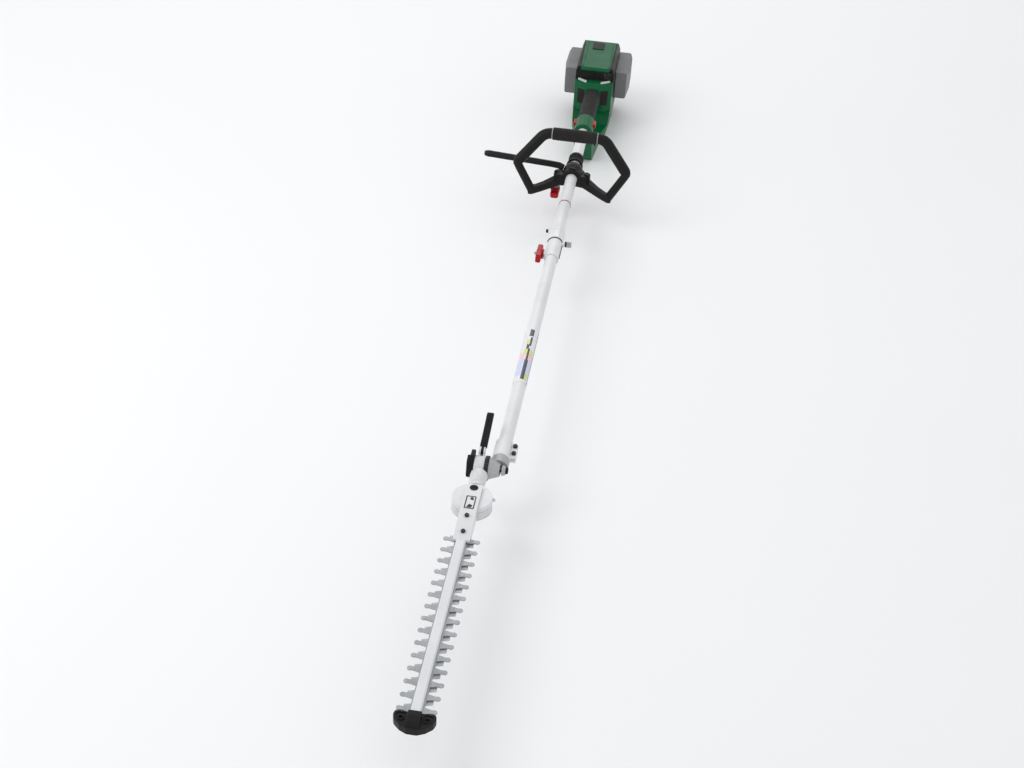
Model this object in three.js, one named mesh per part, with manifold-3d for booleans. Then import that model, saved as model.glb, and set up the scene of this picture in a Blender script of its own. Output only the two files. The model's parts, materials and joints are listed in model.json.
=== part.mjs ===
// A long-reach cordless hedge trimmer: a double-sided cutter bar on a tilting gear head, a two-piece
// shaft with a coupling, a loop handle and a power head with a D-handle and two batteries.
// Millimetres, +Z up. The origin is the middle of the flat underside of the D-handle's foot, the
// shaft runs along Y with the cutter towards -Y, and the cutter's teeth spread along X.
import * as THREE from "three";
import { mergeVertices } from "three/addons/utils/BufferGeometryUtils.js";
import Module from "manifold-3d";

const wasm = await Module();
wasm.setup();

// ---------------------------------------------------------------- driving dimensions

const GAP = 0.3; // between pieces that touch
const RUN = 0.5; // between pieces that turn or slide
const SIDES = 20; // of a plain round piece

// Shaft
const TUBE_R = 13;
const TUBE_WALL = 1.5;
const LOWER_TUBE_LENGTH = 775;
const UPPER_TUBE_LENGTH = 577;
const DRIVE_SHAFT_R = 4;

// Cutter bar
const TOOTH_PITCH = 28;
const TOOTH_ROWS = 15;
const TOOTH_SPAN = 63; // tip to tip of the long comb teeth
const TOOTH_R = 4.6; // round end of a long tooth
const CUTTER_SPAN = 43; // tip to tip of the short cutting teeth
const CUTTER_STAGGER = 7; // a cutting tooth's offset from the comb tooth beside it, at mid stroke
const CUTTER_STROKE = 18;
const STRIP_WIDTH = 22; // the toothless middle of the comb and the cutter
const PLATE_THICK = 2.4; // comb and cutter
const COVER_WIDTH = 16.2;
const COVER_HEIGHT = 8;
const BLADE_X = -31; // the bar's centre line beside the shaft's

// Gear head
const GEARBOX_R = 35;
const GEARBOX_WALL = 3.5;
const GEARBOX_TOP = 13;
const GEARBOX_BOTTOM = -21;
const GEARBOX_Y = 105; // centre, behind the first tooth
const NECK_REACH = 98; // gearbox centre to tilt axis
const ELBOW_R = 20;
const BEVEL_TEETH = 12;
const BEVEL_MODULE = (GEARBOX_R * 3) / 70; // so that the crank gear fits the gearbox
const TOOTH_DEPTH = 1.2;
const CRANK_TEETH = 36;

// Coupling, handle and carrying clamp
const COUPLING_R = TUBE_R + 4;
const COUPLING_LENGTH = 132;
const HANDLE_Y = 305; // clamp centre behind the upper tube's front end
const HANDLE_CLAMP_R = 23;
const HANDLE_CLAMP_LENGTH = 46;
const LOOP_TUBE_R = 12.3;
const LOOP_HALF_WIDTH = 126;
const LOOP_HEIGHT = 105; // top bar's axis above the shaft's
const BARRIER_R = 8;
const BARRIER_REACH = 213;
const BAND_LENGTH = 34;

// Power head, measured from the front of its nose
const NOSE_SOCKET = 60; // length of upper tube inside the nose
const NOSE_R = 23;
const GRIP_R = 17; // the handle's core under its soft sleeve
const GRIP_SLEEVE = 2.6;
const GRIP_LENGTH = 148;
const HEAD_LENGTH = 408;
const HEAD_HALF_WIDTH = 49;
const FOOT_DROP = 104; // foot's underside below the shaft's axis
const SHELL_WALL = 3.5;
const CASE_SPLIT_Y = 262; // where the front shells meet the motor case
const BATTERY_LENGTH = 126;
const BATTERY_HEIGHT = 70;
const BATTERY_DEPTH = 34; // how far a battery stands out of the case
const MOTOR_R = 29;

// ---------------------------------------------------------------- solids from three.js geometry

function solid(geometry) {
  geometry.deleteAttribute("normal");
  geometry.deleteAttribute("uv");
  const merged = mergeVertices(geometry, 1e-4);
  return new wasm.Manifold(
    new wasm.Mesh({
      numProp: 3,
      vertProperties: new Float32Array(merged.attributes.position.array),
      triVerts: new Uint32Array(merged.index.array),
    }),
  );
}

const join = (...parts) => parts.reduce((sum, part) => sum.add(part));
const cut = (body, ...tools) => tools.reduce((left, tool) => left.subtract(tool), body);
const shared = (...parts) => parts.reduce((left, part) => left.intersect(part));

function material(color, roughness, metalness = 0) {
  return new THREE.MeshStandardMaterial({ color, roughness, metalness });
}

function piece(name, made, look, group) {
  const cleaned = made.getMesh();
  const geometry = new THREE.BufferGeometry();
  geometry.setAttribute("position", new THREE.BufferAttribute(cleaned.vertProperties, 3));
  geometry.setIndex(new THREE.BufferAttribute(cleaned.triVerts, 1));
  geometry.computeVertexNormals();
  const mesh = new THREE.Mesh(geometry, look.clone());
  mesh.name = name;
  group.add(mesh);
}

function box(x0, x1, y0, y1, z0, z1) {
  const geometry = new THREE.BoxGeometry(x1 - x0, y1 - y0, z1 - z0);
  return solid(geometry.translate((x0 + x1) / 2, (y0 + y1) / 2, (z0 + z1) / 2));
}

// A round bar from a to b, with its end radii and number of sides.
function bar(a, b, ra, rb = ra, sides = SIDES) {
  const from = new THREE.Vector3(...a);
  const along = new THREE.Vector3(...b).sub(from);
  const geometry = new THREE.CylinderGeometry(rb, ra, along.length(), sides);
  geometry.translate(0, along.length() / 2, 0);
  const turn = new THREE.Quaternion().setFromUnitVectors(
    new THREE.Vector3(0, 1, 0),
    along.clone().normalize(),
  );
  geometry.applyQuaternion(turn);
  return solid(geometry.translate(from.x, from.y, from.z));
}

const barX = (x0, x1, y, z, r, r1 = r, sides = SIDES) => bar([x0, y, z], [x1, y, z], r, r1, sides);
const barY = (x, y0, y1, z, r, r1 = r, sides = SIDES) => bar([x, y0, z], [x, y1, z], r, r1, sides);
const barZ = (x, y, z0, z1, r, r1 = r, sides = SIDES) => bar([x, y, z0], [x, y, z1], r, r1, sides);

// A ring round the line X = Z = 0 (or at x), from y0 to y1.
const ringY = (x, y0, y1, inner, outer) =>
  cut(barY(x, y0, y1, 0, outer), barY(x, y0 - 1, y1 + 1, 0, inner));

function shapeOf(points) {
  return new THREE.Shape(points.map(([a, b]) => new THREE.Vector2(a, b)));
}

// Outlines extruded along each axis: points are (x, y), (y, z) and (x, z) in turn.
function slabZ(points, z0, z1) {
  const geometry = new THREE.ExtrudeGeometry(shapeOf(points), { depth: z1 - z0, bevelEnabled: false });
  return solid(geometry.translate(0, 0, z0));
}

function slabX(points, x0, x1) {
  const geometry = new THREE.ExtrudeGeometry(shapeOf(points), { depth: x1 - x0, bevelEnabled: false });
  geometry.rotateX(Math.PI / 2).rotateZ(Math.PI / 2);
  return solid(geometry.translate(x0, 0, 0));
}

function slabY(points, y0, y1) {
  const geometry = new THREE.ExtrudeGeometry(shapeOf(points), { depth: y1 - y0, bevelEnabled: false });
  geometry.rotateX(Math.PI / 2);
  return solid(geometry.translate(0, y1, 0));
}

// Points along an arc, for outlines. Angles are in degrees.
function arc(cx, cy, r, from, to, steps) {
  return Array.from({ length: steps + 1 }, (_, i) => {
    const angle = THREE.MathUtils.degToRad(from + ((to - from) * i) / steps);
    return [cx + r * Math.cos(angle), cy + r * Math.sin(angle)];
  });
}

// A bevel gear whose teeth point at the apex, built on +Z: its large end is at z = reach.
function bevelGear(teeth, pitchR, reach, face, bore = 0) {
  const depth = (TOOTH_DEPTH * Math.hypot(reach, pitchR)) / reach; // square to the pitch cone
  const outline = [];
  for (let i = 0; i < teeth; i += 1) {
    const mid = (360 / teeth) * i;
    const step = 360 / teeth;
    outline.push(...arc(0, 0, pitchR - depth, mid - step * 0.5, mid - step * 0.24, 1));
    outline.push(...arc(0, 0, pitchR + depth * 0.7, mid - step * 0.1, mid + step * 0.1, 1));
    outline.push(...arc(0, 0, pitchR - depth, mid + step * 0.24, mid + step * 0.5, 1).slice(0, 1));
  }
  const geometry = new THREE.ExtrudeGeometry(shapeOf(outline), { depth: face, bevelEnabled: false });
  const place = geometry.attributes.position;
  for (let i = 0; i < place.count; i += 1) {
    const small = 1 - place.getZ(i) / reach;
    place.setXYZ(i, place.getX(i) * small, place.getY(i) * small, reach - place.getZ(i));
  }
  const flipped = geometry.clone();
  const p = flipped.attributes.position;
  const turned = new Float32Array(p.array.length);
  for (let i = 0; i < p.count; i += 3) {
    [i, i + 2, i + 1].forEach((from, k) => {
      turned.set([p.getX(from), p.getY(from), p.getZ(from)], (i + k) * 3);
    });
  }
  flipped.setAttribute("position", new THREE.BufferAttribute(turned, 3));
  const gear = solid(flipped);
  return bore ? cut(gear, barZ(0, 0, 0, reach + face, bore)) : gear;
}

// ---------------------------------------------------------------- looks

const WHITE_PAINT = material(0xdcdcda, 0.35);
const CASTING = material(0xcfd0d0, 0.5, 0.4);
const SILVER = material(0xb4b6b8, 0.4, 0.8);
const STEEL = material(0x9a9da0, 0.35, 0.9);
const DARK_STEEL = material(0x4a4c4f, 0.45, 0.8);
const BLACK = material(0x232120, 0.55);
const SOFT_BLACK = material(0x2c2a29, 0.85);
const GREEN = material(0x005a32, 0.4);
const RED = material(0xaf1423, 0.35);
const BATTERY_GREY = material(0x7e8082, 0.6);
const COPPER = material(0xa8643a, 0.4, 0.8);
const BOARD_GREEN = material(0x1d5c3a, 0.6);
const LABEL = material(0x26282c, 0.4);

// ---------------------------------------------------------------- stations along the shaft

const PIVOT_Y = GEARBOX_Y + NECK_REACH;
const LOWER_TUBE_Y = PIVOT_Y + ELBOW_R + 14;
const JOINT_Y = LOWER_TUBE_Y + LOWER_TUBE_LENGTH;
const UPPER_TUBE_Y = JOINT_Y + 4;
const HANDLE_CLAMP_Y = UPPER_TUBE_Y + HANDLE_Y;
const NOSE_Y = UPPER_TUBE_Y + UPPER_TUBE_LENGTH - NOSE_SOCKET;
const FOOT_FRONT = 66; // foot's flat from the nose's front
const FOOT_REAR = 350;

const trimmer = new THREE.Group();
const tool = new THREE.Group(); // shaft's axis at X = Z = 0, first tooth at Y = 0
tool.position.set(0, -NOSE_Y - (FOOT_FRONT + FOOT_REAR) / 2, FOOT_DROP);
trimmer.add(tool);

function station(y) {
  const group = new THREE.Group();
  group.position.y = y;
  tool.add(group);
  return group;
}

// ---------------------------------------------------------------- cutter bar

const COMB_BOTTOM = GAP;
const COMB_TOP = COMB_BOTTOM + PLATE_THICK;
const CUTTER_TOP = 0;
const CUTTER_BOTTOM = CUTTER_TOP - PLATE_THICK;
const BACKING_TOP = CUTTER_BOTTOM - GAP;
const BACKING_BOTTOM = BACKING_TOP - 3;
const COVER_TOP = COMB_TOP + GAP + COVER_HEIGHT;
const LAST_TOOTH_Y = -(TOOTH_ROWS - 1) * TOOTH_PITCH;
const COMB_END_Y = LAST_TOOTH_Y - TOOTH_R - 14;
const COVER_END_Y = LAST_TOOTH_Y - 18;

// One side's teeth as an outline running towards the tip; side is 1 or -1.
function combSide(side) {
  const reach = TOOTH_SPAN / 2 - TOOTH_R;
  const points = [];
  for (let row = 0; row < TOOTH_ROWS; row += 1) {
    const y = -row * TOOTH_PITCH;
    points.push([(side * STRIP_WIDTH) / 2, y + TOOTH_R + 2.2]);
    points.push(...arc(0, 0, TOOTH_R, 90, -90, 6).map(([x, dy]) => [side * (reach + x), y + dy]));
    points.push([(side * STRIP_WIDTH) / 2, y - TOOTH_R - 2.2]);
  }
  return points;
}

function combPlate() {
  const right = combSide(1);
  const left = combSide(-1).reverse();
  const rear = GEARBOX_Y - GEARBOX_R - 4;
  const half = STRIP_WIDTH / 2;
  const outline = [[half, rear], ...right, [half, COMB_END_Y], [-half, COMB_END_Y], ...left, [-half, rear]];
  return slabZ(outline.reverse(), COMB_BOTTOM, COMB_TOP);
}

// A cutting side: short teeth with straight sharpened flanks, shifted by the stagger.
function cutterSide(side) {
  const points = [];
  const rows = side > 0 ? TOOTH_ROWS - 1 : TOOTH_ROWS; // the guard takes the last right tooth's place
  for (let row = 0; row < rows; row += 1) {
    const y = -row * TOOTH_PITCH - side * CUTTER_STAGGER;
    points.push([(side * STRIP_WIDTH) / 2, y + 6.5]);
    points.push([(side * CUTTER_SPAN) / 2, y + 3.4]);
    points.push([(side * CUTTER_SPAN) / 2, y - 3.4]);
    points.push([(side * STRIP_WIDTH) / 2, y - 6.5]);
  }
  return points;
}

function cutterBlade() {
  const half = STRIP_WIDTH / 2;
  const tang = 8;
  const neck = GEARBOX_Y - GEARBOX_R - CUTTER_STROKE / 2 - 6;
  const rear = GEARBOX_Y - 8;
  const end = COMB_END_Y + CUTTER_STROKE / 2 + 1;
  const right = cutterSide(1);
  const left = cutterSide(-1).reverse();
  const outline = [
    [tang, rear],
    [tang, neck],
    [half, neck - 4],
    ...right,
    [half, end],
    [-half, end],
    ...left,
    [-half, neck - 4],
    [-tang, neck],
    [-tang, rear],
  ];
  return slabZ(outline.reverse(), CUTTER_BOTTOM, CUTTER_TOP);
}

function backingBar() {
  const rear = GEARBOX_Y - GEARBOX_R - 4;
  return box(-9, 9, COMB_END_Y, rear, BACKING_BOTTOM, BACKING_TOP);
}

// A white channel-like cover with sloped shoulders over the middle of the comb.
function coverBar() {
  const half = COVER_WIDTH / 2;
  const bottom = COMB_TOP + GAP;
  const outline = [
    [-half, bottom],
    [half, bottom],
    [half, COVER_TOP - 2],
    [half - 2, COVER_TOP],
    [-half + 2, COVER_TOP],
    [-half, COVER_TOP - 2],
  ];
  return slabY(outline, COVER_END_Y, -7);
}

const GUARD_HALF = 33;
const GUARD_REAR_Y = LAST_TOOTH_Y - TOOTH_R - 2.2 - GAP;
const GUARD_TIP_Y = GUARD_REAR_Y - 34;

// A rounded fender round the bar's tip with a hump over the cover's end and two hanging holes.
function tipGuard() {
  const rim = [
    [-GUARD_HALF + 3, GUARD_REAR_Y],
    [-GUARD_HALF, GUARD_REAR_Y - 8],
    [-GUARD_HALF + 4, GUARD_REAR_Y - 18],
    [-GUARD_HALF + 14, GUARD_REAR_Y - 28],
    [-10, GUARD_TIP_Y],
  ];
  const plan = [...rim, ...rim.map(([x, y]) => [-x, y]).reverse()];
  const plate = slabZ(plan, BACKING_BOTTOM - 3, COMB_TOP + 2.5);
  const hump = slabX(
    [
      [COVER_END_Y + 6, COMB_TOP],
      [GUARD_TIP_Y + 3, COMB_TOP],
      [GUARD_TIP_Y + 8, COVER_TOP - 1],
      [COVER_END_Y - 3, COVER_TOP + 3],
      [COVER_END_Y + 6, COVER_TOP + 3],
    ],
    -COVER_WIDTH / 2 - 3,
    COVER_WIDTH / 2 + 3,
  );
  const slot = STRIP_WIDTH / 2 + GAP;
  const stripPocket = box(-slot, slot, COMB_END_Y - GAP, 0, BACKING_BOTTOM - GAP, COMB_TOP + GAP);
  const coverPocket = box(
    -COVER_WIDTH / 2 - GAP,
    COVER_WIDTH / 2 + GAP,
    COVER_END_Y - GAP,
    0,
    COMB_TOP,
    COVER_TOP + GAP,
  );
  const cutterRoom = box(
    -CUTTER_SPAN / 2 - RUN,
    CUTTER_SPAN / 2 + RUN,
    LAST_TOOTH_Y + CUTTER_STAGGER - 6.5 - CUTTER_STROKE / 2 - RUN,
    0,
    CUTTER_BOTTOM - RUN,
    COMB_BOTTOM,
  );
  const holes = [-20, 20].map((x) => barZ(x, GUARD_REAR_Y - 13, BACKING_BOTTOM - 9, COVER_TOP, 3.6));
  return cut(join(plate, hump), stripPocket, coverPocket, cutterRoom, ...holes);
}

// ---------------------------------------------------------------- gear head

const PLATE_HALF = 14.5;
const PLATE_Z = GEARBOX_TOP + 1.2;
const PLATE_REAR_Y = GEARBOX_Y + 24;
const SCREWS_Y = [GEARBOX_Y - 93, GEARBOX_Y - 57];
const SCREW_R = 2.5;
const FLANGE_FRONT = 12; // clear of the first cutting tooth at the end of its stroke

// The plate that carries the cutter bar: flat over the gearbox, sloped down to the comb.
function supportPlate() {
  const side = [
    [PLATE_REAR_Y, PLATE_Z],
    [PLATE_REAR_Y, PLATE_Z + 4],
    [GEARBOX_Y - 42, PLATE_Z + 4],
    [-6, COMB_TOP + GAP + 5.5],
    [-6, COMB_TOP + GAP],
    [GEARBOX_Y - 49, COMB_TOP + GAP],
    [GEARBOX_Y - 44, PLATE_Z],
  ];
  const plate = slabX(side, -PLATE_HALF, PLATE_HALF);
  const flange = slabX(
    [
      [GEARBOX_Y - 40, PLATE_Z],
      [FLANGE_FRONT, COMB_TOP + GAP],
      [FLANGE_FRONT, BACKING_BOTTOM],
      [GEARBOX_Y - GEARBOX_R - 5, BACKING_BOTTOM],
      [GEARBOX_Y - GEARBOX_R - 5, PLATE_Z],
    ],
    PLATE_HALF - 3,
    PLATE_HALF,
  );
  const coverSlot = box(-COVER_WIDTH / 2 - GAP, COVER_WIDTH / 2 + GAP, -20, -7 + GAP, 0, COVER_TOP + 9);
  const firstTooth = box(0, TOOTH_SPAN, -9, TOOTH_R + 2.2 + GAP, -9, COMB_TOP + GAP);
  const holes = SCREWS_Y.map((y) => barZ(0, y, -9, PLATE_Z + 9, SCREW_R + GAP));
  return cut(join(plate, flange), coverSlot, firstTooth, ...holes);
}

// A pan-head screw down through the plate, the comb and the backing bar, clear of the cutter.
function plateScrew(y) {
  const slope = (y - -6) / (GEARBOX_Y - 42 - -6);
  const seat = COMB_TOP + GAP + 5.5 + slope * (PLATE_Z + 4 - COMB_TOP - GAP - 5.5) + 1.2;
  return join(barZ(0, y, COMB_TOP + GAP, seat + 0.1, SCREW_R), barZ(0, y, seat, seat + 3, 4.4, 3.4, 12));
}

const NECK_R = 11;
const SEAM_Z = 3;

function neckBore() {
  return barY(0, 0, NECK_REACH, 0, BEVEL_R + 2.2);
}

const GEARBOX_SIDES = 40;
const CUP_Z = -12.5; // where the lower housing starts to draw in
const CUP_DRAW = 8;

const gearboxDisc = (z0, z1, r0, r1 = r0) => barZ(0, 0, z0, z1, r0, r1, GEARBOX_SIDES);

function gearboxUpper() {
  const hollow = gearboxDisc(SEAM_Z, GEARBOX_TOP - GEARBOX_WALL, GEARBOX_R - GEARBOX_WALL);
  const shell = cut(gearboxDisc(SEAM_Z + GAP, GEARBOX_TOP, GEARBOX_R), hollow);
  const barSlot = box(-STRIP_WIDTH / 2 - GAP, STRIP_WIDTH / 2 + GAP, -GEARBOX_R - 2, 0, -9, SEAM_Z + GAP + 2);
  const cap = barZ(0, GEARBOX_R * 0.4, GEARBOX_TOP - 1, GEARBOX_TOP + 0.8, 6, 6, 16);
  return cut(join(shell, cap), barSlot, neckBore());
}

function gearboxLower() {
  const innerR = GEARBOX_R - GEARBOX_WALL;
  const shell = join(
    gearboxDisc(GEARBOX_BOTTOM, CUP_Z + 0.1, GEARBOX_R - CUP_DRAW, GEARBOX_R),
    gearboxDisc(CUP_Z, SEAM_Z, GEARBOX_R),
  );
  const hollow = join(
    gearboxDisc(GEARBOX_BOTTOM + GEARBOX_WALL, CUP_Z + 0.6, innerR - CUP_DRAW + 1, innerR),
    gearboxDisc(CUP_Z + 0.5, SEAM_Z + 1, innerR),
  );
  const snout = box(-17, 13, -GEARBOX_Y + 12, -GEARBOX_R + 3, BACKING_BOTTOM - GAP - 7, BACKING_BOTTOM - GAP);
  const lug = barX(GEARBOX_R - 9, GEARBOX_R + 3, 18, -4, 4, 3, 12);
  const barSlot = box(
    -STRIP_WIDTH / 2 - GAP,
    STRIP_WIDTH / 2 + GAP,
    -GEARBOX_R - 2,
    0,
    BACKING_BOTTOM - GAP,
    SEAM_Z + 1,
  );
  const spindle = barZ(0, 0, GEARBOX_BOTTOM + GEARBOX_WALL - 1, CRANK_BACK_Z + 2, 4 - RUN);
  return join(cut(join(shell, snout, lug), hollow, barSlot, neckBore()), spindle);
}

const BEVEL_R = (BEVEL_TEETH * BEVEL_MODULE) / 2;
const CRANK_R = (CRANK_TEETH * BEVEL_MODULE) / 2;
const CRANK_FACE = 5;
const CRANK_BACK_Z = -BEVEL_R - CRANK_FACE - 2.5;
const ECCENTRIC = CUTTER_STROKE / 2;
const PIN_R = 5;
const ROD_Z = CUTTER_BOTTOM - 0.6;
const ROD_LENGTH = 22;
const CRANK_TOOTH_FACE = 2.2;
const NECK_TOOTH_FACE = 5;
const ROD_BOTTOM = Math.max(ROD_Z - 2.6, -BEVEL_R + CRANK_TOOTH_FACE + RUN); // above the crank gear's teeth
const ROD_EYE_R = Math.min(PIN_R + 4, CRANK_R - NECK_TOOTH_FACE - ECCENTRIC - RUN); // clear of the neck's bevel

// The crank gear lies under the neck shaft, teeth up, with an off-centre pin on its face.
function crankGear() {
  const teeth = bevelGear(CRANK_TEETH, CRANK_R, BEVEL_R, CRANK_TOOTH_FACE);
  const flipped = teeth.rotate([180, 0, 5]);
  const web = barZ(0, 0, CRANK_BACK_Z, -BEVEL_R + 0.1, CRANK_R - 5, CRANK_R - 5, 36);
  const pin = barZ(0, ECCENTRIC, -BEVEL_R - 0.5, ROD_Z - 0.2, PIN_R);
  const bore = barZ(0, 0, CRANK_BACK_Z - 1, CRANK_BACK_Z + 2 + RUN, 4);
  return cut(join(web, flipped, pin), bore);
}

// The rod sits on the pin and reaches under the cutter's tang.
function connectingRod() {
  const z0 = ROD_BOTTOM;
  const eye = barZ(0, ECCENTRIC, z0, ROD_Z, ROD_EYE_R);
  const arm = box(-4, 4, ECCENTRIC - ROD_LENGTH, ECCENTRIC, z0, ROD_Z);
  const end = barZ(0, ECCENTRIC - ROD_LENGTH, z0, ROD_Z, 4);
  return cut(join(eye, arm, end), barZ(0, ECCENTRIC, z0 - 1, ROD_Z + 1, PIN_R + RUN));
}

function neckShaft() {
  const front = bevelGear(BEVEL_TEETH, BEVEL_R, CRANK_R, NECK_TOOTH_FACE).rotate([-90, 0, 0]);
  const rear = bevelGear(BEVEL_TEETH, BEVEL_R, BEVEL_R, 4).rotate([90, 0, 0]);
  const stem = barY(0, CRANK_R - 2, NECK_REACH - BEVEL_R + 0.5, 0, 4.5);
  return join(front, stem, rear.translate([0, NECK_REACH, 0]));
}

// One spindle on the tilt axis: a plain cone facing the shaft and a toothed bevel facing the neck.
function crossShaft() {
  const toShaft = barX(-BEVEL_R, -BEVEL_R + 4, 0, 0, BEVEL_R, BEVEL_R - 4);
  const toNeck = bevelGear(BEVEL_TEETH, BEVEL_R, BEVEL_R, 4).rotate([0, 90, 0]);
  const meshed = toNeck.rotate([15, 0, 0]).translate([BLADE_X, 0, 0]);
  return join(toShaft, barX(BLADE_X + BEVEL_R - 1, -BEVEL_R + 1, 0, 0, 5), meshed);
}

const INDEX_RADIUS = 18;
const INDEX_ANGLE = THREE.MathUtils.degToRad(60);
const INDEX_PIN_R = 1.5;
const INDEX_PIN_Y = INDEX_RADIUS * Math.cos(INDEX_ANGLE);
const INDEX_PIN_Z = INDEX_RADIUS * Math.sin(INDEX_ANGLE);
const INDEX_PIN_STROKE = 5;
const ARM_LEFT = BLADE_X - 12;
const ARM_RIGHT = BLADE_X + 6.5;
const ARM_R = 21;
const LEVER_Y = 23;
const LEVER_Z = 19;

// The swivel arm turns on the index plate and carries the gearbox on a short neck.
function swivelArm() {
  const disc = barX(ARM_LEFT, ARM_RIGHT, 0, 0, ARM_R, ARM_R, 32);
  const neckRear = box(ARM_LEFT + 2, ARM_RIGHT - 1, -26, 0, -13, 13);
  const neck = bar([BLADE_X, -NECK_REACH + GEARBOX_R + 1, 0], [BLADE_X, -22, 0], NECK_R + 3, NECK_R + 5, 12);
  const boss = bar([BLADE_X - 8, LEVER_Y, LEVER_Z], [BLADE_X + 3, LEVER_Y, LEVER_Z], 8, 8, 16);
  const bossFoot = box(BLADE_X - 8, BLADE_X + 3, 0, LEVER_Y + 4, 4, LEVER_Z);
  const gearSpace = barX(ARM_LEFT + 5, ARM_RIGHT + 1, 0, 0, BEVEL_R + 4);
  const shaftSpace = barY(BLADE_X, -NECK_REACH, 0, 0, BEVEL_R + 2.6);
  const leverSlot = box(BLADE_X - 4.4, BLADE_X + 0.4, 10, LEVER_Y + 20, LEVER_Z - 8, LEVER_Z + 20);
  const pinHoleR = INDEX_PIN_R + RUN;
  const pinBore = barX(ARM_LEFT + 3, ARM_RIGHT + 1, INDEX_PIN_Y, INDEX_PIN_Z, pinHoleR, pinHoleR, 12);
  const gearboxEdge = barZ(BLADE_X, -NECK_REACH, -40, 40, GEARBOX_R + GAP, GEARBOX_R + GAP, 40);
  const plateSide = barX(ARM_RIGHT, 40, 0, 0, ARM_R + 1.5 + RUN, ARM_R + 1.5 + RUN, 32);
  const body = join(disc, neckRear, neck, boss, bossFoot);
  return cut(body, gearSpace, shaftSpace, leverSlot, pinBore, gearboxEdge, plateSide);
}

// The black cover over the arm's outer face, with the latch block on its top edge.
function latchCover() {
  const rim = [
    ...arc(0, 0, ARM_R - 1, -150, 60, 10),
    [2, ARM_R + 3],
    [-12, ARM_R - 1],
  ];
  const cover = slabX(rim, ARM_LEFT - 13, ARM_LEFT - GAP);
  const latch = box(ARM_LEFT - 8, ARM_LEFT - GAP, -2, 17, ARM_R - 6, ARM_R + 5);
  return join(cover, latch);
}

// The long release lever, hinged in the boss and lying back over the shaft side.
function releaseLever() {
  const hub = barX(BLADE_X - 4, BLADE_X, LEVER_Y, LEVER_Z, 6, 6, 16);
  const blade = slabX(
    [
      [LEVER_Y - 2, LEVER_Z + 2],
      [LEVER_Y + 4, LEVER_Z - 4],
      [LEVER_Y + 60, LEVER_Z + 8],
      [LEVER_Y + 88, LEVER_Z + 15],
      [LEVER_Y + 90, LEVER_Z + 20],
      [LEVER_Y + 86, LEVER_Z + 22],
      [LEVER_Y + 50, LEVER_Z + 14],
    ],
    BLADE_X - 6.5,
    BLADE_X + 2.5,
  );
  const wings = box(BLADE_X - 9, BLADE_X + 4, LEVER_Y - 9, LEVER_Y + 9, LEVER_Z - 9, LEVER_Z + 9);
  const web = box(BLADE_X - 4, BLADE_X, LEVER_Y + 2, LEVER_Y + 12, LEVER_Z - 2, LEVER_Z + 4);
  return join(hub, cut(blade, wings), web);
}

const INDEX_LEFT = ARM_RIGHT + GAP;
const INDEX_RIGHT = INDEX_LEFT + 7;
const INDEX_NOTCHES = 24; // the head locks every 15 degrees

// The notched plate fixed to the elbow; the index pin drops into one of its notches.
function indexPlate() {
  const plate = barX(INDEX_LEFT, INDEX_RIGHT, 0, 0, ARM_R + 1.5, ARM_R + 1.5, 36);
  const notches = Array.from({ length: INDEX_NOTCHES }, (_, i) => {
    const angle = (i / INDEX_NOTCHES) * 2 * Math.PI;
    const y = INDEX_RADIUS * Math.cos(angle);
    const z = INDEX_RADIUS * Math.sin(angle);
    return barX(INDEX_LEFT - 1, INDEX_RIGHT - 2, y, z, INDEX_PIN_R + RUN, INDEX_PIN_R + RUN, 8);
  });
  return cut(plate, barX(INDEX_LEFT - 1, INDEX_RIGHT + 1, 0, 0, BEVEL_R + 4), ...notches);
}

function indexPin() {
  const left = ARM_LEFT + 3 + INDEX_PIN_STROKE;
  return barX(left, INDEX_RIGHT - 3, INDEX_PIN_Y, INDEX_PIN_Z, INDEX_PIN_R, INDEX_PIN_R, 12);
}

const ELBOW_LEFT = INDEX_RIGHT + GAP;
const ELBOW_TIP = 13;
const ELBOW_NECK_R = 16;
const CLAMP_FRONT = ELBOW_R + 6;
const CLAMP_REAR = ELBOW_R + 55;
const CLAMP_R = 16.8;
const CAP_R = 6.5;

// A cone-shaped bevel housing whose neck runs back to the tube clamp.
function elbowCasting() {
  const cone = barX(ELBOW_LEFT, ELBOW_TIP, 0, 0, ELBOW_R, CAP_R + 1.5, 28);
  const neck = barY(0, CAP_R + 1, CLAMP_FRONT, 0, ELBOW_NECK_R, CLAMP_R);
  const bevelSpace = barX(ELBOW_LEFT - 1, CAP_R, 0, 0, BEVEL_R + 3);
  const shaftSpace = barY(0, 0, CLAMP_FRONT + 1, 0, BEVEL_R + 1.5);
  const capBore = barX(0, ELBOW_TIP + 1, 0, 0, CAP_R - 2);
  return cut(join(cone, neck), bevelSpace, shaftSpace, capBore);
}

function elbowCap() {
  const plug = barX(CAP_R + 1, ELBOW_TIP + 1, 0, 0, CAP_R - 2 - GAP);
  return join(plug, barX(ELBOW_TIP + GAP, ELBOW_TIP + 4.5, 0, 0, CAP_R, CAP_R - 1, 16));
}

const BOLT_R = 2.5;
const CLAMP_BOLTS_Y = [CLAMP_REAR - 12, CLAMP_REAR - 33];

function splitClamp(front, rear, outer, bore, lugSide, boltsY, lugHeight) {
  const reach = lugSide * (outer + 9);
  const lug = box(Math.min(0, reach), Math.max(0, reach), front + 6, rear - 4, -lugHeight, lugHeight);
  const body = join(barY(0, front, rear, 0, outer), lug);
  const slit = box(Math.min(0, reach * 2), Math.max(0, reach * 2), front - 1, rear + 1, -0.8, 0.8);
  const bolts = boltsY.map((y) => barZ(lugSide * (outer + 4), y, -30, 30, BOLT_R + GAP, BOLT_R + GAP, 12));
  return cut(body, barY(0, front - 1, rear + 1, 0, bore), slit, ...bolts);
}

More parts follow.
